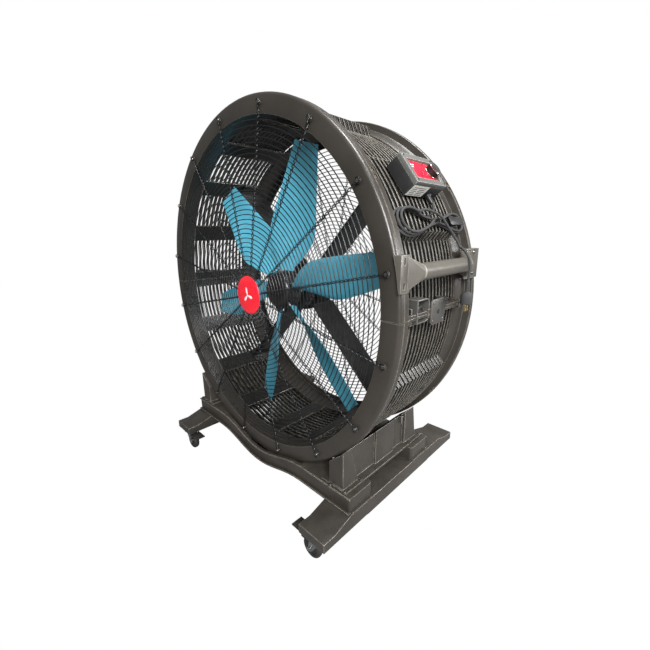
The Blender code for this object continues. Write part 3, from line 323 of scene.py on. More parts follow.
class Finishes:
    """Every finish of the fan."""

    HOUSING = Finish(
        "charcoal_housing", Slot.HOUSING, (44, 41, 37), (52, 48, 43), 0.36, 0.05,
        grain_depth=0.35, wear_and_highlight=0.5, worn_and_lit=(150, 143, 131), dust=0.03,
    )
    # Darker copy of the housing's charcoal, painted shade deepening the gaps between the fins; the
    # pale edges are partly rubbed wear, partly painted highlight lines.
    SHADED_FINS = Finish(
        "housing_fins_painted_shade", Slot.HOUSING, (21, 20, 19), (27, 26, 24), 0.34, 0.05,
        wear_and_highlight=0.6, worn_and_lit=(160, 154, 142), dust=0.02,
    )
    # The light edges here are partly rubbed wear and partly painted highlight lines.
    BASE = Finish(
        "charcoal_base", Slot.BASE, (46, 43, 39), (56, 52, 47), 0.38, 0.06,
        grain_depth=0.4, wear_and_highlight=0.9, worn_and_lit=(156, 151, 141), dust=0.05,
    )
    WIRE = Finish("coated_wire", Slot.WIRE, (16, 16, 17), (22, 22, 22), 0.30, 0.04, coat=0.2)
    BLACK = Finish("black_moulding", Slot.BLACK, (24, 24, 25), (32, 32, 32), 0.42, dust=0.08)
    GLOSS = Finish(
        "gloss_black", Slot.GLOSS, (10, 10, 11), (14, 14, 15), 0.22, 0.04, coat=0.6,
        grain_depth=0.08,
    )
    BLADE = Finish(
        "teal_blade", Slot.BLADE, (80, 164, 188), (92, 174, 198), 0.33, 0.05,
        grain_depth=0.12, wear_and_highlight=0.2, worn_and_lit=(140, 196, 210),
    )
    BADGE = Finish(
        "red_badge", Slot.BADGE, (238, 28, 46), (244, 36, 54), 0.28, 0.03, coat=0.4,
        grain_depth=0.05,
    )
    MARK = Finish("white_mark", Slot.BADGE, (240, 238, 236), (230, 230, 230), 0.4)
    HANDLE = Finish(
        "grey_handle", Slot.HANDLE, (78, 75, 69), (90, 86, 79), 0.34, 0.05,
        grain_depth=0.25, wear_and_highlight=0.45, worn_and_lit=(190, 186, 178), dust=0.08,
    )
    PLATE = Finish(
        "grey_plate", Slot.HANDLE, (56, 55, 53), (66, 64, 61), 0.42, wear_and_highlight=0.5, dust=0.06,
        worn_and_lit=(150, 147, 140),
    )
    BOX = Finish(
        "box_shell", Slot.BLACK, (32, 32, 33), (40, 40, 41), 0.44, grain_depth=0.4, wear_and_highlight=0.3,
    )
    # The pale edges of the lid are partly rubbed wear and partly painted highlight lines.
    LID = Finish(
        "grey_lid", Slot.LID, (88, 88, 86), (100, 100, 97), 0.34, wear_and_highlight=0.6,
        worn_and_lit=(205, 208, 205), grain_depth=0.2,
    )
    RED_PANEL = Finish("red_panel", Slot.BADGE, (214, 20, 44), (224, 30, 56), 0.38)
    LABEL = Finish("silver_label", Slot.LID, (214, 212, 204), (226, 224, 217), 0.34)
    PRINT = Finish("grey_print", Slot.LID, (88, 88, 88), (104, 104, 104), 0.5)
    STEEL = Finish(
        "bright_steel", Slot.STEEL, (178, 176, 172), (160, 158, 154), 0.26, metallic=1.0,
        grain_depth=0.1,
    )
    DARK_STEEL = Finish(
        "dark_steel", Slot.STEEL, (92, 90, 88), (70, 69, 68), 0.30, metallic=0.9,
        grain_depth=0.1, wear_and_highlight=0.6, worn_and_lit=(200, 196, 190),
    )
    ZINC = Finish(
        "zinc_plate", Slot.ZINC, (150, 152, 154), (128, 131, 134), 0.34, metallic=0.9,
        patch_scale=60.0,
    )
    MOTOR = Finish("motor_paint", Slot.BLACK, (20, 20, 21), (27, 27, 27), 0.38, dust=0.06)
    BOARD = Finish("circuit_board", Slot.BOARD, (24, 92, 54), (30, 104, 62), 0.45)
    CORD = Finish(
        "cord_rubber", Slot.CORD, (26, 26, 26), (34, 34, 33), 0.34, 0.05, grain_depth=0.2,
    )
    TYRE = Finish("tyre_rubber", Slot.TYRE, (26, 25, 24), (40, 38, 36), 0.6, dust=0.2)
    BRASS = Finish("brass", Slot.BRASS, (206, 170, 96), (186, 150, 80), 0.24, metallic=1.0)


# --- Modelling ----------------------------------------------------------------
def only(piece: bpy.types.Object) -> None:
    """Selects one object alone and makes it active."""
    bpy.ops.object.select_all(action="DESELECT")
    piece.select_set(True)
    bpy.context.view_layer.objects.active = piece


def polar(radius: float, angle: float, y: float = 0.0) -> Point:
    """Returns a point of the drum's space from its distance, angle and depth."""
    turn = math.radians(angle)
    return (radius * math.cos(turn), y, radius * math.sin(turn))


def aim(place: Sequence[float], direction: Sequence[float], roll: float = 0.0) -> Matrix:
    """Returns the matrix that puts a piece's origin at a place and its z axis along a direction."""
    turn = Vector(direction).to_track_quat("Z", "Y").to_matrix().to_4x4()
    return Matrix.Translation(place) @ turn @ Matrix.Rotation(math.radians(roll), 4, "Z")


class Work:
    """One mesh that is being modelled in edit mode."""

    def __init__(self, name: str) -> None:
        """Adds an object whose mesh is still empty.

        Args:
            name: The piece's name.
        """
        bpy.ops.object.select_all(action="DESELECT")
        bpy.ops.mesh.primitive_plane_add(size=1.0)
        self.piece = bpy.context.object
        self.piece.name = name
        self.piece.data.name = name
        bpy.ops.object.mode_set(mode="EDIT")
        bpy.ops.mesh.delete(type="VERT")

    def line(self, points: Iterable[Sequence[float]]) -> None:
        """Draws a line from point to point and leaves all of it selected.

        Args:
            points: The line's corners.
        """
        corners = [Vector(point) for point in points]
        bpy.ops.mesh.select_all(action="DESELECT")
        bpy.ops.mesh.primitive_plane_add(size=0.001, location=corners[0])
        bpy.ops.mesh.merge(type="CENTER")
        for near, far in zip(corners, corners[1:]):
            bpy.ops.mesh.extrude_vertices_move(TRANSFORM_OT_translate={"value": far - near})
        bpy.ops.mesh.select_linked()

    def face(self, points: Iterable[Sequence[float]]) -> None:
        """Draws an outline and fills it, and leaves the face selected."""
        self.line(points)
        bpy.ops.mesh.edge_face_add()

    def sector(self, profile: Sequence[Flat], start: float, sweep: float, steps: int) -> None:
        """Turns a closed profile of (radius, y) points about the drum's axis into a solid.

        Args:
            profile: The section's corners.
            start: The angle it starts at.
            sweep: The angle that it covers.
            steps: How many facets that takes.
        """
        self.face([polar(radius, start, y) for radius, y in profile])
        bpy.ops.mesh.spin(
            steps=steps, angle=math.radians(sweep), center=(0, 0, 0), axis=(0, 1, 0)
        )

    def lathe(self, profile: Sequence[Flat], steps: int = 32, closed: bool = False) -> None:
        """Turns a profile of (radius, height) points about z all the way round.

        Args:
            profile: The section, from axis to axis unless it is closed.
            steps: How many facets it has.
            closed: Whether the section is a loop clear of the axis.
        """
        self.line([(radius, 0.0, height) for radius, height in profile])
        if closed:
            bpy.ops.mesh.edge_face_add()
            bpy.ops.mesh.delete(type="ONLY_FACE")
            self.relink()
        bpy.ops.mesh.spin(
            steps=steps, angle=math.tau, center=(0, 0, 0), axis=(0, 0, 1)
        )

    def relink(self) -> None:
        """Selects the stretch of mesh that holds the newest vertex."""
        mesh = bmesh.from_edit_mesh(self.piece.data)
        mesh.verts.ensure_lookup_table()
        bpy.ops.mesh.select_all(action="DESELECT")
        mesh.verts[-1].select_set(True)
        mesh.select_flush(True)
        bmesh.update_edit_mesh(self.piece.data)
        bpy.ops.mesh.select_linked()

    def block(self, low: Sequence[float], high: Sequence[float]) -> None:
        """Adds a block between two corners, still all selected."""
        size = Vector(high) - Vector(low)
        bpy.ops.mesh.select_all(action="DESELECT")
        bpy.ops.mesh.primitive_cube_add(
            size=1.0, location=(Vector(high) + Vector(low)) / 2, scale=size
        )

    def prism(self, outline: Iterable[Sequence[float]], travel: Sequence[float]) -> None:
        """Fills an outline and extrudes it."""
        self.face(outline)
        bpy.ops.mesh.extrude_region_move(TRANSFORM_OT_translate={"value": Vector(travel)})

    def rib(self, turn: float, reach: Flat, half: float, low: float, height: float) -> None:
        """Adds an upright rib that stands out from the z axis.

        Args:
            turn: Its direction, in radians.
            reach: The radii where it starts and ends.
            half: Half of its width.
            low: The height of its foot.
            height: How tall it is.
        """
        along = Vector((math.cos(turn), math.sin(turn), 0))
        across = Vector((-along.y, along.x, 0)) * half
        near, far = (along * radius + Vector((0, 0, low)) for radius in reach)
        outline = [near - across, far - across, far + across, near + across]
        self.prism(outline, (0, 0, height))

    def choose(self, wanted: Callable[[Vector], bool]) -> None:
        """Selects the vertices whose place passes a test."""
        bpy.ops.mesh.select_all(action="DESELECT")
        mesh = bmesh.from_edit_mesh(self.piece.data)
        for vertex in mesh.verts:
            vertex.select_set(wanted(vertex.co))
        mesh.select_flush(True)
        bmesh.update_edit_mesh(self.piece.data)

    def done(self, place: Matrix | None = None, weld: bool = True) -> bpy.types.Object:
        """Closes the mesh, turns its faces outwards and puts it in place.

        Args:
            place: Where the piece goes; None leaves it where it was drawn.
            weld: Whether doubled vertices are merged.

        Returns:
            The finished object, at the origin, with its place in its mesh.
        """
        bpy.ops.mesh.select_all(action="SELECT")
        if weld:
            bpy.ops.mesh.remove_doubles(threshold=0.00001)
        bpy.ops.mesh.normals_make_consistent(inside=False)
        bpy.ops.object.mode_set(mode="OBJECT")
        return placed(self.piece, place) if place else self.piece


def turned(
    name: str,
    profile: Sequence[Flat],
    steps: int,
    place: Matrix | None = None,
    closed: bool = False,
) -> bpy.types.Object:
    """Makes a piece that is one profile turned about z.

    Args:
        name: The piece's name.
        profile: Its (radius, height) points.
        steps: How many facets it has.
        place: Where it goes.
        closed: Whether the profile is a loop clear of the axis.

    Returns:
        The piece.
    """
    work = Work(name)
    work.lathe(profile, steps, closed)
    return work.done(place)


def placed(piece: bpy.types.Object, place: Matrix) -> bpy.types.Object:
    """Moves a piece and puts its place in its mesh."""
    only(piece)
    piece.matrix_world = place
    bpy.ops.object.transform_apply(location=True, rotation=True, scale=True)
    return piece


def smoothed(piece: bpy.types.Object, angle: float = 32.0) -> bpy.types.Object:
    """Shades a piece smooth but for its edges sharper than an angle."""
    only(piece)
    bpy.ops.object.shade_smooth_by_angle(angle=math.radians(angle))
    return piece


def modified(piece: bpy.types.Object, kind: str, **settings: object) -> bpy.types.Object:
    """Adds a modifier, sets it and applies it.

    Args:
        piece: The object.
        kind: The modifier's type.
        settings: Its settings.

    Returns:
        The object.
    """
    only(piece)
    modifier = piece.modifiers.new(kind.title(), kind)
    for key, value in settings.items():
        setattr(modifier, key, value)
    bpy.ops.object.modifier_apply(modifier=modifier.name)
    return piece


def rounded(piece: bpy.types.Object, width: float, segments: int = 2) -> bpy.types.Object:
    """Bevels a piece's sharp edges and shades it smooth."""
    modified(
        piece, "BEVEL", width=width, segments=segments, limit_method="ANGLE",
        angle_limit=math.radians(35), harden_normals=False,
    )
    return smoothed(piece)


def copied(piece: bpy.types.Object, name: str, place: Matrix | None = None) -> bpy.types.Object:
    """Copies a piece with a mesh of its own.

    Args:
        piece: The piece to copy.
        name: The copy's name.
        place: Where the copy goes.

    Returns:
        The copy.
    """
    copy = piece.copy()
    copy.data = piece.data.copy()
    copy.name = name
    copy.data.name = name
    bpy.context.scene.collection.objects.link(copy)
    return placed(copy, place) if place else copy


def joined(name: str, pieces: Sequence[bpy.types.Object]) -> bpy.types.Object:
    """Joins pieces into one object."""
    bpy.ops.object.select_all(action="DESELECT")
    for piece in pieces:
        piece.select_set(True)
    bpy.context.view_layer.objects.active = pieces[0]
    if len(pieces) > 1:
        bpy.ops.object.join()
    pieces[0].name = name
    pieces[0].data.name = name
    return pieces[0]


def discard(piece: bpy.types.Object) -> None:
    """Removes a pattern piece that was only copied from."""
    bpy.data.objects.remove(piece)


def cut(piece: bpy.types.Object, cutter: bpy.types.Object) -> bpy.types.Object:
    """Cuts one piece with another and removes the cutter."""
    modified(piece, "BOOLEAN", object=cutter, operation="DIFFERENCE")
    discard(cutter)
    return piece


def strand(
    name: str, routes: Iterable[Sequence[Sequence[float]]], radius: float, facets: int
) -> bpy.types.Object:
    """Makes a round curve along one or more routes.

    Args:
        name: The piece's name.
        routes: The points along each route.
        radius: The curve's radius.
        facets: 0 for four sides, and two more for each step.

    Returns:
        The curve object.
    """
    curve = bpy.data.curves.new(name, "CURVE")
    curve.dimensions = "3D"
    curve.bevel_depth = radius
    curve.bevel_resolution = facets
    curve.use_fill_caps = True
    for route in routes:
        spline = curve.splines.new("POLY")
        spline.points.add(len(route) - 1)
        for vertex, place in zip(spline.points, route):
            vertex.co = (*place, 1.0)
        spline.use_smooth = True
    piece = bpy.data.objects.new(name, curve)
    bpy.context.scene.collection.objects.link(piece)
    return piece


def eased(points: Sequence[Vector], steps: int) -> list[Vector]:
    """Fills in points along the smooth curve through the given ones."""
    ends = [points[0] * 2 - points[1], *points, points[-1] * 2 - points[-2]]
    smooth = []
    for a, b, c, d in zip(ends, ends[1:], ends[2:], ends[3:]):
        for step in range(steps):
            t = step / steps
            bend = (2 * a - 5 * b + 4 * c - d) * t * t + (3 * b - a - 3 * c + d) * t * t * t
            smooth.append(0.5 * (2 * b + (c - a) * t + bend))
    return [*smooth, points[-1]]


def detached(node: str, name: str) -> bpy.types.Object:
    """Copies a CAD node's mesh into a new piece and merges its loose triangles."""
    piece = copied(frame["nodes"][node], name)
    piece.parent = None
    for key in list(piece.keys()):
        del piece[key]
    piece.data.materials.clear()
    only(piece)
    bpy.ops.object.mode_set(mode="EDIT")
    bpy.ops.mesh.select_all(action="SELECT")
    bpy.ops.mesh.remove_doubles(threshold=0.00002)
    bpy.ops.mesh.dissolve_limited(angle_limit=math.radians(1.5))
    bpy.ops.object.mode_set(mode="OBJECT")
    return piece


def dress(piece: bpy.types.Object, finish: Finish, body: str, *nodes: str) -> bpy.types.Object:
    """Gives a piece its finish, its body and the CAD nodes it stands for.

    Args:
        piece: The finished piece.
        finish: Its surface.
        body: The CAD body it moves with.
        nodes: The CAD nodes that it replaces.

    Returns:
        The piece.
    """
    piece.data.materials.clear()
    piece.data.materials.append(finish.material())
    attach(piece, body)
    if nodes:
        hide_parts(*nodes)
    LOG.info("%s: %d faces", piece.name, len(getattr(piece.data, "polygons", ())))
    return piece


def softened(node: str, finish: Finish, width: float, segments: int = 2) -> bpy.types.Object:
    """Replaces a CAD node with its own shape, its edges rounded as a moulding's are.

    Args:
        node: The CAD node.
        finish: Its surface.
        width: The rounding's width.
        segments: Its facets.

    Returns:
        The dressed piece.
    """
    body = frame["nodes"][node]["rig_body"]
    piece = rounded(detached(node, f"{node}_moulding"), width, segments)
    return dress(piece, finish, body, node)


# --- Screws -------------------------------------------------------------------
@dataclass
class Fastener:
    """A screw head that is modelled once and copied to where it goes."""

    radius: float = 0.0048
    height: float = 0.0030
    washer: float = 0.0075
    slot: float = 0.0012

    def pattern(self) -> bpy.types.Object:
        """Models the head with its washer and slot, standing on its origin along z."""
        rim, top, plate = self.radius, self.height, 0.0010
        profile = [
            (0.0, -0.0006), (self.washer, -0.0006), (self.washer, plate * 0.6),
            (self.washer - 0.0006, plate), (rim, plate), (rim, plate + top * 0.5),
            (rim * 0.75, plate + top * 0.9), (0.0, plate + top),
        ]
        head = turned("screw_pattern", profile, 14)
        cutter = Work("slot_cutter")
        half, floor = self.slot / 2, plate + top * 0.45
        cutter.block((-rim * 1.2, -half, floor), (rim * 1.2, half, 0.01))
        return smoothed(cut(head, cutter.done()), 40)

    def group(self, name: str, places: Iterable[Matrix]) -> bpy.types.Object:
        """Copies the head to every place, as one object."""
        pattern = self.pattern()
        heads = [copied(pattern, f"{name}_{i}", place) for i, place in enumerate(places)]
        discard(pattern)
        return joined(name, heads)


# --- Camera and cord ----------------------------------------------------------
@dataclass
class Viewpoint:
    """The camera."""

    place: Point = (1.0548, -0.9662, 1.0036)
    azimuth: float = 44.83
    elevation: float = 15.02
    roll: float = -0.74
    lens: float = 18.975

    def build(self) -> None:
        """Adds the camera and makes it the scene's."""
        azimuth, elevation = math.radians(self.azimuth), math.radians(self.elevation)
        back = Vector(
            (
                math.sin(azimuth) * math.cos(elevation),
                -math.cos(azimuth) * math.cos(elevation),
                math.sin(elevation),
            )
        )
        right = (-back).cross(Vector((0, 0, 1))).normalized()
        up = right.cross(-back)
        level = Matrix((right, up, back)).transposed().to_4x4()
        data = bpy.data.cameras.new("camera")
        data.lens = self.lens
        camera = bpy.data.objects.new("camera", data)
        bpy.context.scene.collection.objects.link(camera)
        turn = Matrix.Rotation(math.radians(self.roll), 4, "Z")
        camera.matrix_world = Matrix.Translation(self.place) @ level @ turn
        bpy.context.scene.camera = camera


@dataclass
class MainsCord:
    """The mains lead: out of the gland, two and a half times round the hank, to its plug."""

    diameter: float = 0.007
    length: float = 2.27
    hank_angle: float = 22.5
    base: float = 0.6305  # lowest level of the hank, from the drum's axis
    level: float = 0.0073
    waist: float = 0.236
    left_middle: Flat = (0.145, 0.003)
    right_middle: Flat = (0.325, -0.003)
    laps: tuple = ((0, 1.07, 1.08), (1, 1.0, 1.0))  # level, widening left, widening right
    last_widening: float = 0.93
    climb_start: float = 0.36
    climb_run: float = 0.08
    tie_size: Flat = (0.01332, 0.0118)
    tie_front: float = 0.2335
    tie_width: float = 0.005
    lead: tuple = (
        (0.57605, 0.2360, 0.29127), (0.5777, 0.2358, 0.2888), (0.5795, 0.2350, 0.2860),
        (0.5810, 0.2334, 0.2829), (0.5822, 0.2312, 0.2798), (0.5835, 0.2292, 0.2767),
    )
    entry: tuple = ((0.2220, 0.0225, 1.4), (0.2115, 0.0165, 0.6))
    left_lobe: tuple = (
        (0.1970, 0.0098), (0.1800, 0.0125), (0.1630, 0.0195), (0.1470, 0.0265),
        (0.1200, 0.0335), (0.0950, 0.0355), (0.0700, 0.0310), (0.0520, 0.0190),
        (0.0455, 0.0020), (0.0510, -0.0155), (0.0670, -0.0280), (0.0900, -0.0340),
        (0.1200, -0.0330), (0.1550, -0.0250), (0.1900, -0.0145),
    )
    right_lobe: tuple = (
        (0.2250, -0.0065), (0.2500, -0.0045), (0.2750, -0.0080), (0.3050, -0.0165),
        (0.3350, -0.0245), (0.3650, -0.0280), (0.3880, -0.0220), (0.4005, -0.0080),
        (0.3990, 0.0090), (0.3840, 0.0215), (0.3600, 0.0260), (0.3300, 0.0225),
        (0.3000, 0.0145), (0.2700, 0.0070), (0.2470, 0.0037), (0.2220, 0.0055),
    )
    leaving: tuple = (
        (0.1700, 0.0275, 2.6), (0.1950, 0.0235, 3.1), (0.2192, 0.0145, 3.5),
        (0.2407, 0.0020, 3.6), (0.2554, -0.0161, 3.5), (0.2697, -0.0323, 3.4),
        (0.2834, -0.0505, 3.3), (0.2915, -0.0665, 3.4),
    )
    tail: tuple = (
        (0.6375, 0.2970, 0.1745), (0.6500, 0.2915, 0.1680), (0.6618, 0.2857, 0.1590),
        (0.6722, 0.2802, 0.1478), (0.6797, 0.2760, 0.1355), (0.6834, 0.2728, 0.1230),
        (0.6842, 0.2704, 0.1102), (0.6837, 0.2687, 0.0972), (0.6830, 0.2680, 0.0840),
    )

    def on_hank(self, y: float, z: float, level: float) -> Point:
        """Returns a point of the hank in the drum's space from its level in the stack."""
        x = self.base + self.level * level
        turn = math.radians(self.hank_angle)
        return (
            x * math.cos(turn) - z * math.sin(turn), y, x * math.sin(turn) + z * math.cos(turn)
        )

    def lobe(self, points: Sequence[Flat], centre: Flat, scale: float) -> list[Flat]:
        """Widens a lobe about its centre, least where the hank is tied."""
        wider = []
        for y, z in points:
            away = min(1.0, abs(y - self.waist) / 0.05)
            share = 1 + (scale - 1) * away
            wider.append((centre[0] + (y - centre[0]) * share, centre[1] + (z - centre[1]) * share))
        return wider

    def route(self) -> list[Point]:
        """Lists the route's points from the gland to the plug."""
        points = list(self.lead)
        points += [self.on_hank(y, z, level) for y, z, level in self.entry]
        for level, left, right in self.laps:
            lobe = self.lobe(self.left_lobe, self.left_middle, left)
            points += [self.on_hank(y, z, level) for y, z in lobe]
            for y, z in self.lobe(self.right_lobe, self.right_middle, right):
                climb = (self.climb_start - y) / self.climb_run if z > 0 else 0.0
                points.append(self.on_hank(y, z, level + min(1.0, max(0.0, climb))))
        last = self.lobe(self.left_lobe, self.left_middle, self.last_widening)[::-1]
        points += [self.on_hank(y, z, 2) for y, z in last[:-3]]
        points += [self.on_hank(y, z, level) for y, z, level in self.leaving]
        return points + list(self.tail)

    def build(self) -> None:
        """Makes the cord, the tie round it and its plug."""
        points = [DRUM @ Vector(point) for point in self.route()]
        smooth = eased(points, 4)
        cord = strand("mains_cord", [smooth], self.diameter / 2, 3)
        measured = sum((b - a).length for a, b in zip(smooth, smooth[1:]))
        LOG.info("mains_cord: %.4f m long", measured)
        dress(cord, Finishes.CORD, CAST_FRAME, "cord_lead", "cord_hank", "cord_tail")
        plug = self.plug()
        prongs = [softened(f"plug_prong_{i}", Finishes.BRASS, 0.0005) for i in (1, 2)]
        tuple(points[0])
        softened("cord_gland", Finishes.BLACK, 0.0012, 2)
        softened("cord_hook", Finishes.BLACK, 0.0012, 2)
        self.tie()

    def plug(self) -> bpy.types.Object:
        """Makes the plug's body, with ribs round its strain relief."""
        body = rounded(detached("plug_body", "plug_body_moulding"), 0.0015, 3)
        top = DRUM @ Vector(self.tail[-1])
        ribs = Work("plug_ribs")
        for number in range(6):
            low = -0.0065 - number * 0.0042
            radius = 0.0052 + number * 0.00036
            ribs.lathe(
                [
                    (radius - 0.0015, low), (radius, low + 0.0003), (radius + 0.0004, low + 0.0011),
                    (radius, low + 0.0019), (radius - 0.0015, low + 0.0022),
                ],
                20, closed=True,
            )
        pieces = [body, smoothed(ribs.done(Matrix.Translation(top), weld=False))]
        return dress(joined("plug_body_moulding", pieces), Finishes.CORD, CAST_FRAME, "plug_body")

    def tie(self) -> None:
        """Makes the flat tie round the hank's waist."""
        turn = math.radians(self.hank_angle)
        out, side = self.tie_size
        section = []
        for i in range(20):
            angle = math.tau * i / 20
            x = self.base + self.level + out * math.cos(angle)
            section.append((x, -0.0015 + side * math.sin(angle)))
        work = Work("hank_tie")
        cos, sin = math.cos(turn), math.sin(turn)
        work.line([(x * cos - z * sin, self.tie_front, x * sin + z * cos) for x, z in section])
        bpy.ops.mesh.edge_face_add()
        bpy.ops.mesh.delete(type="ONLY_FACE")
        work.relink()
        along = Vector((0, self.tie_width, 0))
        bpy.ops.mesh.extrude_edges_move(TRANSFORM_OT_translate={"value": along})
        tie = work.done(DRUM)
        modified(tie, "SOLIDIFY", thickness=0.0012, offset=1.0)
        dress(smoothed(tie), Finishes.BLACK, CAST_FRAME)


# --- Drum ---------------------------------------------------------------------
@dataclass
class DrumHousing:
    """The two louvred halves of the drum with their flanges, windows and fins."""

    rim: float = 0.639
    face: float = 0.631
    wall: float = 0.580
    wall_outer: float = 0.588
    low_fin: float = 0.598
    high_fin: float = 0.625
    fin_root: float = 0.584
    high_root: float = 0.606
    fin_count: int = 16
    lobed_fins: int = 3
    fin_pitch: float = 0.0203
    fin_thickness: float = 0.0060
    first_fin: float = 0.0540
    slope_width: float = 2.1
    seam: float = 0.08
    bay: float = 22.5
    window: float = 15.3
    window_front: float = 0.060
    window_back: float = 0.340
    back: float = 0.432
    notch_angles: tuple = (33.2, 34.9, 145.1, 146.8)
    notch_fronts: Flat = (0.0205, 0.4155)
    notch_half: float = 0.55
    notch_reach: Flat = (0.6345, 0.6450)
    notch_length: float = 0.0115
    boss_places: tuple = (0.045, 0.150, 0.238, 0.345)

    def front_flange(self) -> list[Flat]:
        """Section of the front ring, as (radius, y)."""
        face, rim = self.face, self.rim
        return [
            (self.wall, 0.0600), (self.wall, -0.0010), (self.wall + 0.0007, -0.0028),
            (self.wall + 0.0025, -0.0035), (face - 0.0020, -0.0035), (face + 0.0020, -0.0026),
            (face + 0.0052, -0.0004), (rim - 0.0010, 0.0022), (rim, 0.0055), (rim, 0.0140),
            (rim - 0.0016, 0.0148), (rim - 0.0016, 0.0160), (rim, 0.0168), (rim, 0.0345),
            (rim - 0.0012, 0.0360), (rim - 0.0045, 0.0360), (rim - 0.0050, 0.0090),
            (self.wall_outer + 0.002, 0.0060), (self.wall_outer, 0.0080), (self.wall_outer, 0.0600),
        ]

    def rear_flange(self) -> list[Flat]:
        """Section of the rear band and flange, as (radius, y)."""
        outer, rim, back = self.wall_outer, self.rim, self.back
        mouth = self.wall - 0.020
        return [
            (outer, 0.3400), (outer, 0.3530), (outer + 0.0040, 0.3580), (outer + 0.0150, 0.3610),
            (outer + 0.0185, 0.3660), (outer + 0.0240, 0.4040), (outer + 0.0290, 0.4110),
            (rim - 0.0065, 0.4145), (rim - 0.0015, 0.4155), (rim, 0.4172), (rim, 0.4302),
            (rim - 0.0018, back), (mouth + 0.0015, back), (mouth, 0.4305), (mouth, 0.4285),
            (mouth + 0.0015, 0.4270), (self.wall - 0.0020, 0.4262), (self.wall, 0.4240),
            (self.wall, 0.3400),
        ]

    def fin_stations(self, lobed: bool) -> list[tuple[float, float, float]]:
        """Lists a fin's (angle, outer radius, width factor) from seam to seam."""
        low, high, wide = self.low_fin, self.high_fin, self.slope_width
        quarter = [(self.seam, low, 1.0)]
        if lobed:
            quarter = [(self.seam, high, 1.0), (1.9, high, 1.0), (2.1, high, 1.6), (2.8, low, 1.6)]
            quarter.append((3.1, low, 1.0))
        quarter += [
            (18.5, low, 1.0), (18.75, low, wide), (20.3, high, wide), (20.6, high, 1.0),
            (40.8, high, 1.0), (41.0, high, wide), (43.7, low, wide), (44.0, low, 1.0),
            (64.0, low, 1.0), (64.3, low, wide), (67.0, high, wide), (67.3, high, 1.0),
        ]
        corners = quarter + [(180 - a, r, w) for a, r, w in reversed(quarter)]
        stations = [corners[0]]
        for (near, first, width), (far, second, factor) in zip(corners, corners[1:]):
            if first == second and far - near > 1:
                count = round((far - near) / 2.5)
                stations += [
                    (near + (far - near) * i / count, first, width) for i in range(1, count)
                ]
            stations.append((far, second, factor))
        return stations

    def fin(self, lobed: bool) -> bpy.types.Object:
        """Models one half-round fin: a strip between two outlines, extruded and rounded."""
        stations = self.fin_stations(lobed)
        front = -self.fin_thickness / 2
        work = Work("fin_pattern")
        outer = [polar(radius, angle, front) for angle, radius, _ in stations]
        lift = (self.high_root - self.fin_root) / (self.high_fin - self.low_fin)
        inner = [
            polar(self.fin_root + (radius - self.low_fin) * lift, angle, front)
            for angle, radius, _ in stations
        ]
        work.line(outer)
        work.line(inner)
        bpy.ops.mesh.select_all(action="SELECT")
        bpy.ops.mesh.bridge_edge_loops()
        bpy.ops.mesh.select_all(action="SELECT")
        bpy.ops.mesh.extrude_region_move(
            TRANSFORM_OT_translate={"value": Vector((0, self.fin_thickness, 0))}
        )
        for share in (1.6, self.slope_width):
            angles = [angle for angle, _, width in stations if width == share]
            if not angles:
                continue

            def on_slope(place: Vector, angles: list[float] = angles) -> bool:
                """Tells whether a vertex stands at one of the slopes."""
                angle = math.degrees(math.atan2(place.z, place.x))
                return any(abs(angle - other) < 0.02 for other in angles)

            work.choose(on_slope)
            bpy.ops.transform.resize(value=(1, share, 1), center_override=(0, 0, 0))
        fin = work.done()
        return rounded(fin, 0.0011, 1)

    def fins(self) -> list[bpy.types.Object]:
        """Models the stack of fins of the upper half."""
        stacks = []
        starts = (0, self.lobed_fins, self.fin_count)
        for lobed, first, last in zip((True, False), starts, starts[1:]):
            y = self.first_fin + first * self.fin_pitch
            stack = placed(self.fin(lobed), Matrix.Translation((0, y, 0)))
            modified(
                stack, "ARRAY", count=last - first, use_relative_offset=False,
                use_constant_offset=True, constant_offset_displace=(0, self.fin_pitch, 0),
            )
            stacks.append(stack)
        return stacks

    def wall_bars(self) -> bpy.types.Object:
        """Models the wall's bars between the windows of the upper half."""
        work = Work("wall_bars")
        bar = self.bay - self.window
        for i in range(9):
            low = max(self.seam, i * self.bay - bar / 2)
            high = min(180 - self.seam, i * self.bay + bar / 2)
            section = [
                (self.wall, self.window_front), (self.wall_outer, self.window_front),
                (self.wall_outer, self.window_back), (self.wall, self.window_back),
            ]
            work.sector(section, low, high - low, 3)
        return rounded(work.done(), 0.0009, 1)

    def rails(self) -> bpy.types.Object:
        """Models the upper half's rails along both seams, with their screw bosses."""
        work = Work("seam_rails")
        for side in (-1, 1):
            xs = sorted((side * 0.585, side * 0.630))
            work.block((xs[0], 0.0360, 0.0005), (xs[1], 0.3560, 0.0080))
            for y in self.boss_places:
                xs = sorted((side * 0.600, side * 0.634))
                work.block((xs[0], y - 0.007, 0.0010), (xs[1], y + 0.007, 0.0130))
        return rounded(work.done(weld=False), 0.0012, 2)

    def half(self) -> bpy.types.Object:
        """Models the upper half in the drum's space."""
        sweep = 180 - 2 * self.seam
        work = Work("drum_flanges")
        for section in (self.front_flange(), self.rear_flange()):
            work.sector(section, self.seam, sweep, 72)
        flanges = smoothed(work.done(), 28)
        cutter = Work("notch_cutter")
        half, (floor, top) = self.notch_half, self.notch_reach
        for angle in self.notch_angles:
            for y in self.notch_fronts:
                inner = [polar(floor, angle + a, y) for a in (-half, half)]
                outer = [polar(top, angle + a, y) for a in (half, -half)]
                cutter.prism(inner + outer, (0, self.notch_length, 0))
        cut(flanges, cutter.done(weld=False))
        return joined("drum_half", [smoothed(flanges, 28), self.rails()])

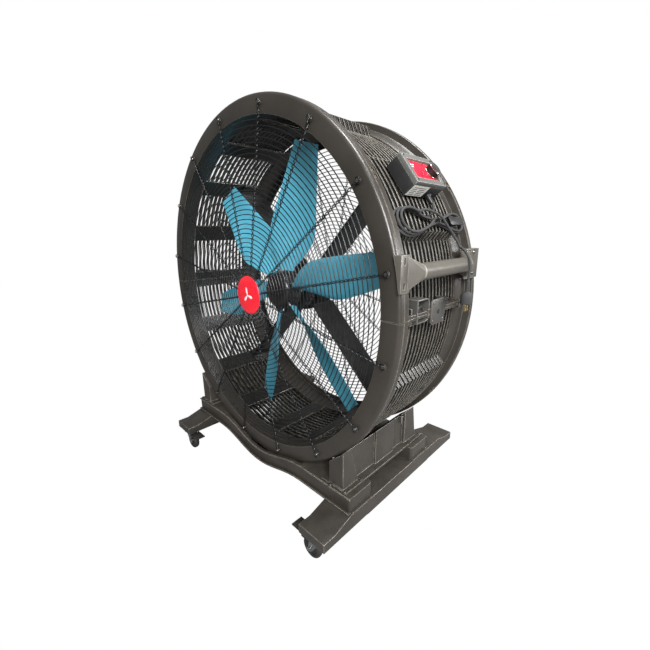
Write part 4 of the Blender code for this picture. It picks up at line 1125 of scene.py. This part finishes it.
    def build(self) -> None:
        """Makes both halves, the lower one a mirror image of the upper."""
        shell = self.half()
        fins = joined("fin_stack", self.fins() + [self.wall_bars()])
        turn = Matrix.Rotation(math.pi, 4, "Y")
        for node, place in (("drum_upper", DRUM), ("drum_lower", DRUM @ turn)):
            flange = copied(shell, f"{node}_flanges", place)
            stack = copied(fins, f"{node}_fins", place)
            dress(flange, Finishes.HOUSING, CAST_FRAME, node)
            # The fins take the darker charcoal: painted shade between the fins.
            dress(stack, Finishes.SHADED_FINS, CAST_FRAME)
        discard(shell)
        discard(fins)


# --- Guards -------------------------------------------------------------------
@dataclass
class WireGuards:
    """The front and rear guards: rings held by sixteen twisted spokes, and the badge."""

    wire: float = 0.0016
    first_ring: float = 0.0780
    ring_pitch: float = 0.0157
    ring_count: int = 32
    twist: float = 0.0031
    spokes: int = 16
    first_spoke: float = 78.75
    eyelet: float = 0.610
    eyelet_radius: float = 0.0075
    front_y: float = -0.0085
    rear_y: float = 0.4365
    badge_radius: float = 0.070
    post_radius: float = 0.0046
    post_height: float = 0.0050

    def rings(self, y: float) -> bpy.types.Object:
        """Models the concentric rings at one depth."""
        work = Work("guard_rings")
        for i in range(self.ring_count):
            radius = self.first_ring + i * self.ring_pitch
            steps = 64 if radius < 0.25 else 120
            bpy.ops.mesh.select_all(action="DESELECT")
            bpy.ops.mesh.primitive_circle_add(
                vertices=6, radius=self.wire, location=(radius, y, 0)
            )
            bpy.ops.mesh.spin(steps=steps, angle=math.tau, center=(0, 0, 0), axis=(0, 1, 0))
        return smoothed(work.done(), 180)

    def spoke_routes(self, y: float, out: float) -> list[list[Point]]:
        """Lists both strands of every spoke, each with its loop round the eyelet."""
        routes = []
        start, end = self.first_ring - 0.012, self.eyelet - self.eyelet_radius - 0.002
        count = round((end - start) / self.ring_pitch * 6)
        for number in range(self.spokes):
            angle = self.first_spoke - number * 360 / self.spokes
            along = Vector(polar(1.0, angle))
            across = Vector(polar(1.0, angle + 90))
            for strand in (-1, 1):
                route = []
                for i in range(count + 1):
                    radius = start + (end - start) * i / count
                    phase = math.pi * (radius - self.first_ring) / self.ring_pitch
                    offset = across * math.sin(phase) * self.twist * strand
                    depth = y + math.cos(phase) * self.twist * strand
                    place = along * radius + offset
                    route.append((place.x, depth, place.z))
                centre = along * self.eyelet
                for i in range(1, 8):
                    turn = math.pi * i / 7
                    place = centre - along * self.eyelet_radius * math.cos(turn)
                    place += across * self.eyelet_radius * math.sin(turn) * strand
                    route.append((place.x, y + out * 0.001 * i, place.z))
                routes.append(route)
        return routes

    def guard(self, side: str, y: float, out: float) -> None:
        """Joins rings and spokes into one guard."""
        spokes = strand("spokes", self.spoke_routes(y, out), self.wire, 0)
        only(spokes)
        bpy.ops.object.convert(target="MESH")
        bpy.ops.object.shade_smooth()
        piece = placed(joined(f"{side}_guard_wires", [self.rings(y), spokes]), DRUM)
        dress(piece, Finishes.WIRE, CAST_FRAME, f"{side}_guard")

    def screws(self, name: str, y: float, out: float) -> None:
        """Puts a screw through every eyelet."""
        places = []
        for number in range(self.spokes):
            angle = self.first_spoke - number * 360 / self.spokes
            places.append(DRUM @ aim(polar(self.eyelet, angle, y), (0, out, 0), 25.0 * number))
        rim, top = self.post_radius, self.post_height
        post = turned("post", [(0.0, 0.0), (rim, 0.0), (rim, top), (0.0, top)], 12)
        posts = [copied(post, f"post_{i}", place) for i, place in enumerate(places)]
        discard(post)
        raised = [place @ Matrix.Translation((0, 0, top - 0.0002)) for place in places]
        heads = Fastener(radius=0.0058, height=0.0044, washer=0.0088).group(name, raised)
        piece = smoothed(joined(name, [heads, *posts]), 40)
        dress(piece, Finishes.DARK_STEEL, CAST_FRAME)

    def badge(self) -> None:
        """Makes the red disc with a plain three-bladed mark."""
        place = DRUM @ aim((0, -0.0120, 0), (0, -1, 0))
        rim = self.badge_radius
        profile = [
            (0.0, 0.0), (rim - 0.0015, 0.0), (rim, 0.0012), (rim, 0.0035),
            (rim - 0.0008, 0.0048), (rim - 0.0026, 0.0054), (rim * 0.6, 0.0062), (0.0, 0.0066),
        ]
        disc = turned("badge_disc", profile, 72, place)
        dress(smoothed(disc, 40), Finishes.BADGE, CAST_FRAME, "badge")
        mark = Work("badge_mark")
        for blade in range(3):
            turn = math.radians(90 + 120 * blade)
            outline = []
            for i in range(13):
                sweep = math.pi * i / 12
                reach = 0.0055 + 0.0235 * math.sin(sweep) ** 0.7
                lean = turn + 0.75 * (sweep / math.pi) - 0.1
                outline.append((reach * math.cos(lean), reach * math.sin(lean), 0.0058))
            mark.prism(outline, (0, 0, 0.0012))
        mark.lathe([(0.0, 0.0058), (0.0042, 0.0058), (0.0042, 0.0071), (0.0, 0.0071)], 20)
        dress(smoothed(mark.done(place, weld=False)), Finishes.MARK, CAST_FRAME)

    def build(self) -> None:
        """Makes both guards, their screws and the badge."""
        self.guard("front", self.front_y, -1)
        self.guard("rear", self.rear_y, 1)
        self.screws("front_guard_screws", -FACE_STANDOFF, -1)
        self.screws("rear_guard_screws", 0.4320, 1)
        self.badge()


# --- Rotor and motor ----------------------------------------------------------
@dataclass
class Rotor:
    """The hub, its dome and the six twisted blades."""

    blades: int = 6
    first_blade: float = 13.2
    hub: float = 0.074
    tip: float = 0.531
    plane: float = 0.150
    lead: float = 0.150
    hub_front: float = 0.140
    hub_back: float = 0.182
    root_thickness: float = 0.012
    tip_thickness: float = 0.0045
    widths: tuple = (
        (0.0743, 0.058), (0.096, 0.058), (0.128, 0.098), (0.162, 0.133), (0.195, 0.158),
        (0.225, 0.173), (0.262, 0.172), (0.300, 0.164), (0.350, 0.150), (0.400, 0.136),
        (0.450, 0.121), (0.500, 0.106), (0.522, 0.099), (0.531, 0.096),
    )
    section: tuple = (
        (-0.5, 0.0), (-0.47, 0.55), (-0.36, 0.9), (-0.15, 1.0), (0.1, 1.0), (0.32, 0.85),
        (0.46, 0.5), (0.5, 0.0), (0.46, -0.5), (0.32, -0.85), (0.1, -1.0), (-0.15, -1.0),
        (-0.36, -0.9), (-0.47, -0.55),
    )

    def outline(self, radius: float, width: float, thicker: float = 1.0) -> list[Point]:
        """Lists the points round a blade at one distance from the axis."""
        share = (radius - self.hub) / (self.tip - self.hub)
        half = (self.root_thickness + (self.tip_thickness - self.root_thickness) * share) / 2
        pitch = math.atan2(self.lead, radius)
        points = []
        for along, over in self.section:
            across = along * width
            camber = 0.05 * width * (1 - 4 * along * along) * min(1.0, 3 * share)
            depth = over * half * thicker + camber
            points.append(
                (
                    radius,
                    self.plane - across * math.sin(pitch) + depth * math.cos(pitch),
                    across * math.cos(pitch) + depth * math.sin(pitch),
                )
            )
        return points

    def lofted(self, name: str, rows: Sequence[list[Point]]) -> bpy.types.Object:
        """Bridges closed outlines from row to row and caps both ends."""
        work = Work(name)
        for place, row in enumerate(rows):
            work.face(row)
            if 0 < place < len(rows) - 1:
                bpy.ops.mesh.delete(type="ONLY_FACE")
        for near, far in zip(rows, rows[1:]):
            work.choose(
                lambda spot, near=near, far=far: abs(spot.x - near[0][0]) < 1e-5
                or abs(spot.x - far[0][0]) < 1e-5
            )
            bpy.ops.mesh.bridge_edge_loops()
        return work.done()

    def blade(self) -> bpy.types.Object:
        """Models one blade along +x."""
        rows = [self.outline(radius, width) for radius, width in self.widths]
        blade = self.lofted("blade_pattern", rows)
        return rounded(blade, 0.0008, 1)

    def collar(self) -> bpy.types.Object:
        """Models the black socket that holds a blade's root, along +x."""
        sizes = ((0.066, 0.070, 1.9), (0.080, 0.068, 1.8), (0.084, 0.065, 1.5))
        rows = [self.outline(radius, width, thicker) for radius, width, thicker in sizes]
        return smoothed(self.lofted("collar_pattern", rows))

    def build(self) -> None:
        """Makes the blades, their sockets, the hub and its dome."""
        blade, collar = self.blade(), self.collar()
        sockets = []
        for number in range(self.blades):
            turn = Matrix.Rotation(-math.radians(self.first_blade + number * 60), 4, "Y")
            piece = copied(blade, f"blade_{number + 1}_moulding", DRUM @ turn)
            dress(piece, Finishes.BLADE, "rotor", f"blade_{number + 1}")
            sockets.append(copied(collar, f"socket_{number}", DRUM @ turn))
        discard(blade)
        discard(collar)
        front = DRUM @ aim((0, self.hub_front, 0), (0, -1, 0))
        radius = self.hub
        depth = self.hub_back - self.hub_front
        bore = 0.012
        profile = [
            (bore, -depth), (radius - 0.003, -depth), (radius, -depth + 0.003),
            (radius, -0.0010), (radius - 0.0010, 0.0), (bore, 0.0),
        ]
        hub = smoothed(turned("hub_barrel", profile, 64, front, closed=True))
        barrel = joined("hub_barrel", [hub, *sockets])
        dress(barrel, Finishes.GLOSS, "rotor", "hub")
        profile = [
            (0.0, 0.0003), (radius - 0.0014, 0.0003), (radius - 0.0004, 0.0012),
            (radius - 0.0006, 0.0100), (radius - 0.0045, 0.0215), (radius - 0.0140, 0.0310),
            (radius - 0.0290, 0.0368), (radius - 0.0500, 0.0390), (0.0, 0.0393),
        ]
        dome = turned("hub_cap", profile, 64, front)
        dress(smoothed(dome, 50), Finishes.GLOSS, "rotor", "hub_dome")


@dataclass
class MotorMount:
    """The motor in the middle of its four-armed spider."""

    radius: float = 0.088
    ribs: int = 36
    rib_half: float = 0.0014

    def build(self) -> None:
        """Makes the ribbed motor casing and dresses the spider and the inner pieces."""
        softened("motor_spider", Finishes.MOTOR, 0.0020, 2)
        softened("motor_front_cover", Finishes.MOTOR, 0.0012, 2)
        low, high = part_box("motor_housing")
        body = self.radius - 0.006
        place = DRUM @ aim((0, high.y - FACE_Y, 0), (0, 1, 0))
        depth = high.y - low.y
        work = Work("motor_casing")
        work.lathe(
            [
                (0.0, 0.0), (body * 0.45, 0.0), (body * 0.5, -0.004), (body - 0.006, -0.004),
                (body, -0.010), (body, -depth + 0.006), (body - 0.004, -depth + 0.006),
                (body - 0.004, -0.012), (0.0, -0.012),
            ],
            48,
        )
        for number in range(self.ribs):
            turn = math.tau * number / self.ribs
            reach = (body - 0.002, self.radius)
            work.rib(turn, reach, self.rib_half, 0.009 - depth, depth - 0.020)
        casing = work.done(place, weld=False)
        dress(smoothed(casing), Finishes.MOTOR, CAST_FRAME, "motor_housing")
        inner = {
            "motor_stator": Finishes.DARK_STEEL, "motor_rotor": Finishes.STEEL,
            "bearing_front": Finishes.STEEL, "bearing_rear": Finishes.STEEL,
        }
        for node, finish in inner.items():
            frame["nodes"][node].material_slots[0].material = finish.material()


# --- Handle and joint plates --------------------------------------------------
@dataclass
class SideFittings:
    """The handle with its brackets, and the plates over the drum's seams."""

    grip_radius: float = 0.021
    block_x: float = 0.6405
    pocket_front: float = 0.087
    pocket_back: float = 0.151
    pocket_low: float = -0.020
    pocket_high: float = 0.045
    keyhole_heights: Flat = (0.092, 0.150)
    keyhole_y: float = 0.0040
    keyhole_radius: float = 0.0042
    keyhole_stretch: float = 0.0050

    def build(self) -> None:
        """Makes every fitting of the drum's sides."""
        self.brackets()
        low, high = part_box("handle_grip")
        length = high.y - low.y
        middle = (low + high) / 2
        edge, radius = 0.0012, self.grip_radius
        profile = [
            (0.0, 0.0), (radius - edge, 0.0), (radius, edge), (radius, length - edge),
            (radius - edge, length), (0.0, length),
        ]
        grip = turned("grip_tube", profile, 48, aim((middle.x, low.y, middle.z), (0, 1, 0)))
        dress(smoothed(grip), Finishes.HANDLE, CAST_FRAME, "handle_grip")
        self.bracket_screws()
        for side in ("right", "left"):
            self.joint_plate(side)
        self.pocket()

    def keyholes(self, name: str, depth: float, reach: float) -> bpy.types.Object:
        """Makes both keyholes of the front bracket as short upright prisms.

        Args:
            name: Name of the piece.
            depth: How far inside the bracket's outer face they start.
            reach: How far they run outwards from there.

        Returns:
            The prisms, for cutting, and as the dark plates behind the holes, which stand for the
            screws in them and paint the shade inside.
        """
        work = Work(name)
        radius = self.keyhole_radius
        for z in self.keyhole_heights:
            outline = []
            for i in range(16):
                turn = math.tau * i / 16
                y = self.keyhole_y + radius * math.cos(turn)
                stretch = math.copysign(self.keyhole_stretch, math.sin(turn))
                outline.append((self.block_x - depth, y, z + stretch + radius * math.sin(turn)))
            work.prism(outline, (reach, 0, 0))
        return work.done(DRUM, weld=False)

    def brackets(self) -> None:
        """Makes both brackets, with two keyhole slots through the face of the front one."""
        node = "handle_bracket_front"
        front = rounded(detached(node, f"{node}_moulding"), 0.0032, 3)
        # Dark gloss plates at the floor of the keyholes: the screws in them, and painted shade
        # inside the holes.
        dress(self.keyholes("keyhole_shade_plates", 0.0040, 0.0018), Finishes.GLOSS, CAST_FRAME)
        cut(front, self.keyholes("keyhole_cutter", 0.0030, 0.010))
        dress(smoothed(front), Finishes.HANDLE, CAST_FRAME, node)
        softened("handle_bracket_rear", Finishes.HANDLE, 0.0032, 3)

    def bracket_screws(self) -> None:
        """Puts the screws in the rear bracket's face."""
        low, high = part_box("handle_bracket_rear")
        places = []
        for z in (low.z + 0.014, high.z - 0.012):
            places.append(aim((AXIS_X + self.block_x, high.y - 0.038, z), (1, 0, 0), 40))
        screw = Fastener(radius=0.0046, height=0.0020, washer=0.0060)
        heads = screw.group("bracket_screws", places)
        dress(heads, Finishes.DARK_STEEL, CAST_FRAME)

    def joint_plate(self, side: str) -> None:
        """Makes a plate over a seam, with four corner screws and its middle bolt."""
        node = f"joint_plate_{side}"
        softened(node, Finishes.PLATE, 0.0016, 3)
        low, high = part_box(node)
        out = 1 if side == "right" else -1
        x = high.x if out > 0 else low.x
        middle_y, middle_z = (low.y + high.y) / 2, (low.z + high.z) / 2
        places = []
        for dy in (-0.028, 0.028):
            for dz in (-0.026, 0.026):
                places.append(aim((x, middle_y + dy, middle_z + dz), (out, 0, 0), 30 + dy * 900))
        screw = Fastener(radius=0.0030, height=0.0014, washer=0.0042)
        heads = screw.group(f"{node}_screws", places)
        dress(heads, Finishes.DARK_STEEL, CAST_FRAME)
        profile = [
            (0.0, -0.001), (0.0062, -0.001), (0.0062, 0.0010), (0.0056, 0.0016),
            (0.0040, 0.0016), (0.0036, 0.0004), (0.0, 0.0004),
        ]
        boss = turned(f"{node}_boss", profile, 24, aim((x, middle_y, middle_z), (out, 0, 0)))
        dress(smoothed(boss), Finishes.BLACK, CAST_FRAME)

    def pocket_outline(self, inset: float, corner: float, x: float) -> list[Point]:
        """Lists a D-shaped outline: square in front, rounded behind."""
        front, back = self.pocket_front + inset, self.pocket_back - inset
        low, high = self.pocket_low + inset, self.pocket_high - inset
        points = [(x, front, high), (x, front, low)]
        for start, z in ((-90, low + corner), (0, high - corner)):
            for i in range(7):
                turn = math.radians(start + 15 * i)
                y = back - corner + corner * math.cos(turn)
                points.append((x, y, z + corner * math.sin(turn)))
        return points

    def pocket(self) -> None:
        """Makes the latch pockets in front of both joint plates, each with its round latch."""
        inner, outer, wall = 0.596, 0.633, 0.0042
        for side, out in (("right", 1), ("left", -1)):
            work = Work(f"latch_pocket_{side}")
            work.prism(self.pocket_outline(0.0, 0.016, out * inner), (out * (outer - inner), 0, 0))
            rim = work.done()
            cutter = Work("pocket_cutter")
            outline = self.pocket_outline(wall, 0.012, out * (inner + 0.006))
            cutter.prism(outline, (out * 0.06, 0, 0))
            cut(rim, cutter.done())
            dress(rounded(placed(rim, DRUM), 0.0012, 2), Finishes.PLATE, CAST_FRAME)
            foot = out * (inner + 0.005)
            latch = [
                (0.0, 0.0), (0.0125, 0.0), (0.0125, 0.0180), (0.0110, 0.0195),
                (0.0060, 0.0195), (0.0050, 0.0165), (0.0, 0.0165),
            ]
            peg = [(0.0, 0.0), (0.0085, 0.0), (0.0085, 0.0290), (0.0070, 0.0305), (0.0, 0.0305)]
            pieces = [
                turned(f"latch_{side}", latch, 28, DRUM @ aim((foot, 0.126, 0.012), (out, 0, 0))),
                turned("latch_peg", peg, 24, DRUM @ aim((foot, 0.2520, 0.0245), (out, 0, 0))),
            ]
            dress(smoothed(joined(f"latch_{side}", pieces)), Finishes.BLACK, CAST_FRAME)


# --- Control box --------------------------------------------------------------
@dataclass
class ControlBox:
    """The speed control on the drum's shoulder."""

    angle: float = 36.4
    low_side: float = -0.077
    high_side: float = 0.019
    front: float = 0.127
    back: float = 0.283
    floor: float = 0.626
    lid_top: float = 0.677
    lid_height: float = 0.0127
    knob_y: float = 0.246
    knob_ribs: int = 18
    margin: float = 0.016

    def matrix(self) -> Matrix:
        """Returns the box's space: x down the drum's side, y back, z out of the lid."""
        return DRUM @ Matrix.Rotation(math.radians(90 - self.angle), 4, "Y")

    def build(self) -> None:
        """Makes the shell, lid, panel, knob, label and screws."""
        softened("control_box", Finishes.BOX, 0.0022, 3)
        softened("control_lid", Finishes.LID, 0.0014, 2)
        for node in ("control_board", "speed_control"):
            frame["nodes"][node].material_slots[0].material = Finishes.BOARD.material()
        place = self.matrix()
        panel = Work("red_panel")
        level = self.lid_top - 0.0078
        xs = (-self.high_side + self.margin - 0.001, -self.low_side - self.margin + 0.001)
        ys = (self.front + self.margin - 0.001, self.back - self.margin + 0.001)
        panel.block((xs[0], ys[0], level), (xs[1], ys[1], level + 0.0006))
        dress(rounded(panel.done(place), 0.0002, 1), Finishes.RED_PANEL, CAST_FRAME)
        marks = Work("panel_marks")
        top = level + 0.0008
        for i, length in enumerate((0.026, 0.020)):
            y = ys[0] + 0.010
            x = xs[0] + 0.012 + i * 0.007
            marks.block((x, y, top - 0.0003), (x + 0.003, y + length, top))
        low = (xs[1] - 0.010, ys[0] + 0.008, top - 0.0003)
        marks.block(low, (xs[1] - 0.004, ys[0] + 0.030, top))
        dress(rounded(marks.done(place, weld=False), 0.0001, 1), Finishes.MARK, CAST_FRAME)
        self.screws(place)
        self.knob(place, level)
        self.label(place)

    def screws(self, place: Matrix) -> None:
        """Puts a slotted screw in each corner of the lid."""
        inset = 0.008
        spots = []
        for x in (-self.high_side + inset, -self.low_side - inset):
            for y in (self.front + inset, self.back - inset):
                spots.append(place @ aim((x, y, self.lid_top - 0.0004), (0, 0, 1), 50 + x * 900))
        screw = Fastener(radius=0.0038, height=0.0012, washer=0.0046)
        heads = screw.group("lid_screws", spots)
        dress(heads, Finishes.DARK_STEEL, CAST_FRAME)

    def knob(self, place: Matrix, level: float) -> None:
        """Makes the ribbed knob with its pale cap and the silver ring under it."""
        joint = JOINTS["knob_turn"]
        centre_x = -(self.low_side + self.high_side) / 2
        spot = place @ Matrix.Translation((centre_x, self.knob_y, level))
        profile = [
            (0.0190, 0.0004), (0.0206, 0.0004), (0.0208, 0.0012), (0.0206, 0.0040),
            (0.0200, 0.0046), (0.0190, 0.0042),
        ]
        ring = turned("knob_ring", profile, 48, spot, closed=True)
        dress(smoothed(ring, 40), Finishes.STEEL, CAST_FRAME)
        work = Work("knob_body")
        work.lathe(
            [
                (0.0, 0.0010), (0.0188, 0.0010), (0.0188, 0.0040), (0.0182, 0.0060),
                (0.0182, 0.0180), (0.0170, 0.0192), (0.0, 0.0192),
            ],
            48,
        )
        for number in range(self.knob_ribs):
            turn = math.tau * number / self.knob_ribs
            work.rib(turn, (0.0172, 0.0198), 0.0013, 0.0045, 0.0125)
        body = work.done(spot, weld=False)
        dress(smoothed(body), Finishes.BLACK, joint["child"], "speed_knob")
        profile = [
            (0.0, 0.0188), (0.0205, 0.0188), (0.0212, 0.0196), (0.0212, 0.0210),
            (0.0200, 0.0219), (0.0, 0.0221),
        ]
        cap = turned("knob_cap", profile, 40, spot)
        dress(smoothed(cap, 40), Finishes.STEEL, joint["child"])

    def label(self, place: Matrix) -> None:
        """Makes the rating label on the lower face, with bars in place of print."""
        x = -self.low_side
        work = Work("rating_label")
        work.block((x + 0.0001, 0.1295, 0.6285), (x + 0.0005, 0.2100, 0.6635))
        dress(rounded(work.done(place), 0.0001, 1), Finishes.LABEL, CAST_FRAME)
        bars = Work("label_bars")
        for row in range(5):
            z = 0.6320 + row * 0.0060
            lengths = ((0.136, 0.162), (0.169, 0.202)) if row < 4 else ((0.140, 0.198),)
            for y0, y1 in lengths:
                bars.block((x + 0.0004, y0, z), (x + 0.0007, y1 - 0.003 * (row % 2), z + 0.0020))
        dress(bars.done(place, weld=False), Finishes.PRINT, CAST_FRAME)


# --- Base and casters ---------------------------------------------------------
@dataclass
class Cradle:
    """The feet, cross-beams and side mouldings that carry the drum."""

    beam_end: float = 0.500
    dip_reach: float = 0.270
    top_dip: float = 0.055
    bottom_dip: float = 0.047
    corner: float = 0.011
    lip: float = 0.007
    bolt_places: tuple = (
        (0.474, -0.017), (0.474, 0.066), (0.417, -0.022), (0.474, 0.350), (0.474, 0.437),
    )

    def build(self) -> None:
        """Makes the base mouldings, their ribs and bolts."""
        for node in ("foot_right", "foot_left"):
            softened(node, Finishes.BASE, 0.0032, 3)
        for node, out in (("cross_beam_front", -1), ("cross_beam_rear", 1)):
            self.beam(node, out)
        for node in ("side_support_right", "side_support_left"):
            softened(node, Finishes.BASE, 0.0018, 2)
        self.bolts()
        self.tie_bolts()

    def edge_line(self, height: float, dip: float) -> list[Flat]:
        """Lists (x, z) along one edge of a cross-beam, with its dip under the drum."""
        points = [(-self.beam_end, height)]
        for i in range(17):
            x = self.dip_reach * (i / 8 - 1)
            points.append((x, height - dip * 0.5 * (1 + math.cos(math.pi * x / self.dip_reach))))
        return points + [(self.beam_end, height)]

    def beam(self, node: str, out: int) -> None:
        """Makes a cross-beam: upright corners rounded, a lip below and a border above.

        Args:
            node: The beam's CAD node.
            out: -1 for the front beam and 1 for the rear one, the way its outer face looks.
        """
        piece = detached(node, f"{node}_moulding")
        low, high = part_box(node)
        only(piece)
        bpy.ops.object.mode_set(mode="EDIT")
        bpy.ops.mesh.select_all(action="DESELECT")
        mesh = bmesh.from_edit_mesh(piece.data)
        for edge in mesh.edges:
            first, second = (vertex.co for vertex in edge.verts)
            upright = abs(first.x - second.x) < 1e-4 and abs(first.y - second.y) < 1e-4
            at_end = min(abs(first.x - low.x), abs(first.x - high.x)) < 1e-3
            edge.select_set(upright and at_end)
        bmesh.update_edit_mesh(piece.data)
        bpy.ops.mesh.bevel(offset=self.corner, segments=5, affect="EDGES")
        bpy.ops.object.mode_set(mode="OBJECT")
        dress(rounded(piece, 0.0026, 2), Finishes.BASE, CAST_FRAME, node)
        face = low.y if out < 0 else high.y
        trim = Work(f"{node}_trim")
        bottom, top = low.z + self.bottom_dip, high.z
        lip_low = bottom + 0.0004
        for height, dip, thick, proud in (
            (lip_low, self.bottom_dip, 0.0055, self.lip),
            (top - 0.0062, self.top_dip, 0.0050, 0.0018),
        ):
            line = self.edge_line(height, dip)
            outline = [(AXIS_X + x, face - out * 0.004, z) for x, z in line]
            outline += [(AXIS_X + x, face - out * 0.004, z + thick) for x, z in reversed(line)]
            trim.prism(outline, (0, out * (proud + 0.004), 0))
        for side in (-1, 1):
            end = AXIS_X + side * self.beam_end
            xs = sorted((end - side * 0.006, end + side * self.lip))
            corner = (xs[0], low.y + 0.010, lip_low)
            trim.block(corner, (xs[1], high.y - 0.010, lip_low + 0.0055))
        dress(rounded(trim.done(weld=False), 0.0010, 2), Finishes.BASE, CAST_FRAME)

    def bolts(self) -> None:
        """Puts the bolts in the flanges of the side mouldings."""
        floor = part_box("side_support_right")[0].z + 0.009
        places = []
        for side in (-1, 1):
            for x, y in self.bolt_places:
                places.append(aim((AXIS_X + side * x, FACE_Y + y, floor), (0, 0, 1), x * 90))
        screw = Fastener(radius=0.0050, height=0.0030, washer=0.0080)
        heads = screw.group("flange_bolts", places)
        dress(heads, Finishes.DARK_STEEL, CAST_FRAME)

    def tie_bolts(self) -> None:
        """Makes the bright bolts that clamp the side mouldings to the drum."""
        work = Work("tie_bolts")
        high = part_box("side_support_right")[1]
        for side in (-1, 1):
            x = AXIS_X + side * (high.x - AXIS_X - 0.022)
            spot = (x, FACE_Y + 0.322, high.z - 0.028)
            bpy.ops.mesh.select_all(action="DESELECT")
            bpy.ops.mesh.primitive_cylinder_add(
                vertices=16, radius=0.004, depth=0.030, location=spot
            )
            head = Vector(spot) + Vector((0, 0, 0.014))
            bpy.ops.mesh.primitive_cylinder_add(
                vertices=6, radius=0.0075, depth=0.006, location=head
            )
        dress(rounded(work.done(weld=False), 0.0005, 1), Finishes.STEEL, CAST_FRAME)


@dataclass
class Casters:
    """Four swivel casters, the front two with brake pedals."""

    wheel: float = 0.0375
    half_width: float = 0.012

    def build(self) -> None:
        """Makes every caster."""
        for place in ("front_left", "front_right", "rear_left", "rear_right"):
            softened(f"caster_fork_{place}", Finishes.ZINC, 0.0008, 2)
            softened(f"caster_axle_{place}", Finishes.STEEL, 0.0006, 2)
            self.wheel_pieces(place)
            if place.startswith("front"):
                softened(f"brake_pedal_{place}", Finishes.BLACK, 0.0012, 2)

    def wheel_pieces(self, place: str) -> None:
        """Makes one wheel: tyre and hub."""
        joint = JOINTS[f"wheel_{place}_roll"]
        spot = aim(joint["pos_m"], (0, 1, 0))
        radius, half = self.wheel, self.half_width
        side = [
            (radius * 0.70, half - 0.001), (radius - 0.0075, half), (radius - 0.0035, half - 0.002),
            (radius - 0.0008, half - 0.006),
        ]
        profile = [(r, -y) for r, y in side] + [(radius, 0.0)] + side[::-1]
        tyre = turned(f"tyre_{place}", profile, 48, spot, closed=True)
        dress(smoothed(tyre, 40), Finishes.TYRE, joint["child"], f"caster_wheel_{place}")
        side = [
            (0.0045, half - 0.0005), (0.0100, half - 0.0005), (0.0110, half - 0.0035),
            (radius * 0.60, half - 0.0035), (radius * 0.64, half - 0.0008),
            (radius * 0.71, half - 0.0008),
        ]
        profile = [(r, -y) for r, y in side] + side[::-1]
        hub = turned(f"wheel_hub_{place}", profile, 40, spot, closed=True)
        dress(smoothed(hub, 35), Finishes.BLACK, joint["child"])


# --- Studio -------------------------------------------------------------------
@dataclass
class Studio:
    """The pale floor and the soft lights."""

    floor_size: float = 30.0
    surround: float = 0.26

    def build(self) -> None:
        """Makes the floor, the world and the lights."""
        bpy.ops.object.select_all(action="DESELECT")
        bpy.ops.mesh.primitive_plane_add(size=self.floor_size, location=(0, 0, -0.0005))
        floor = bpy.context.object
        floor.name = "studio_floor"
        only(floor)
        bpy.ops.object.transform_apply(location=True)
        paint = bpy.data.materials.new("floor_paint")
        paint.use_nodes = True
        graph = Graph(paint.node_tree)
        shader = graph.add("BsdfPrincipled", Base_Color=(0.22, 0.22, 0.22, 1), Roughness=0.9)
        bright = graph.add("Emission", Color=(1.0, 1.0, 1.0, 1.0), Strength=1.0)
        seen = graph.add("LightPath").outputs["Is Camera Ray"]
        mixed = graph.add("MixShader", in0=seen, in1=shader.outputs[0], in2=bright.outputs[0])
        graph.add("OutputMaterial", Surface=mixed.outputs[0])
        floor.data.materials.append(paint)
        bpy.context.scene.view_settings.view_transform = "Standard"
        world = bpy.data.worlds.new("studio")
        bpy.context.scene.world = world
        world.use_nodes = True
        sky = Graph(world.node_tree)
        seen = sky.add("LightPath").outputs["Is Camera Ray"]
        strength = sky.add("MapRange", Value=seen, To_Min=self.surround, To_Max=1.0)
        light = sky.add("Background", Color=(1.0, 1.0, 1.0, 1.0), Strength=strength.outputs[0])
        sky.add("OutputWorld", Surface=light.outputs[0])
        self.lamp("key", (3.0, -2.4, 3.0), 1.4, 240)
        self.lamp("near", (1.9, -1.5, 1.5), 0.9, 30)
        self.lamp("top", (0.9, 0.3, 3.6), 1.0, 90)
        self.lamp("rim", (3.0, 2.0, 1.6), 1.0, 90)

    def lamp(self, name: str, place: Point, size: float, power: float) -> None:
        """Adds an area light that points at the fan's middle."""
        data = bpy.data.lights.new(name, "AREA")
        data.size = size
        data.energy = power
        lamp = bpy.data.objects.new(name, data)
        bpy.context.scene.collection.objects.link(lamp)
        target = Vector((0, 0, 0.75))
        lamp.matrix_world = aim(place, Vector(place) - target)


def main() -> None:
    """Builds the fan, piece by piece."""
    logging.basicConfig(level=logging.INFO, format="%(message)s")
    Viewpoint().build()
    for assembly in (
        MainsCord(), DrumHousing(), WireGuards(), Rotor(), MotorMount(), SideFittings(),
        ControlBox(), Cradle(), Casters(), Studio(),
    ):
        LOG.info("-- %s", type(assembly).__name__)
        assembly.build()


if __name__ == "__main__":
    main()
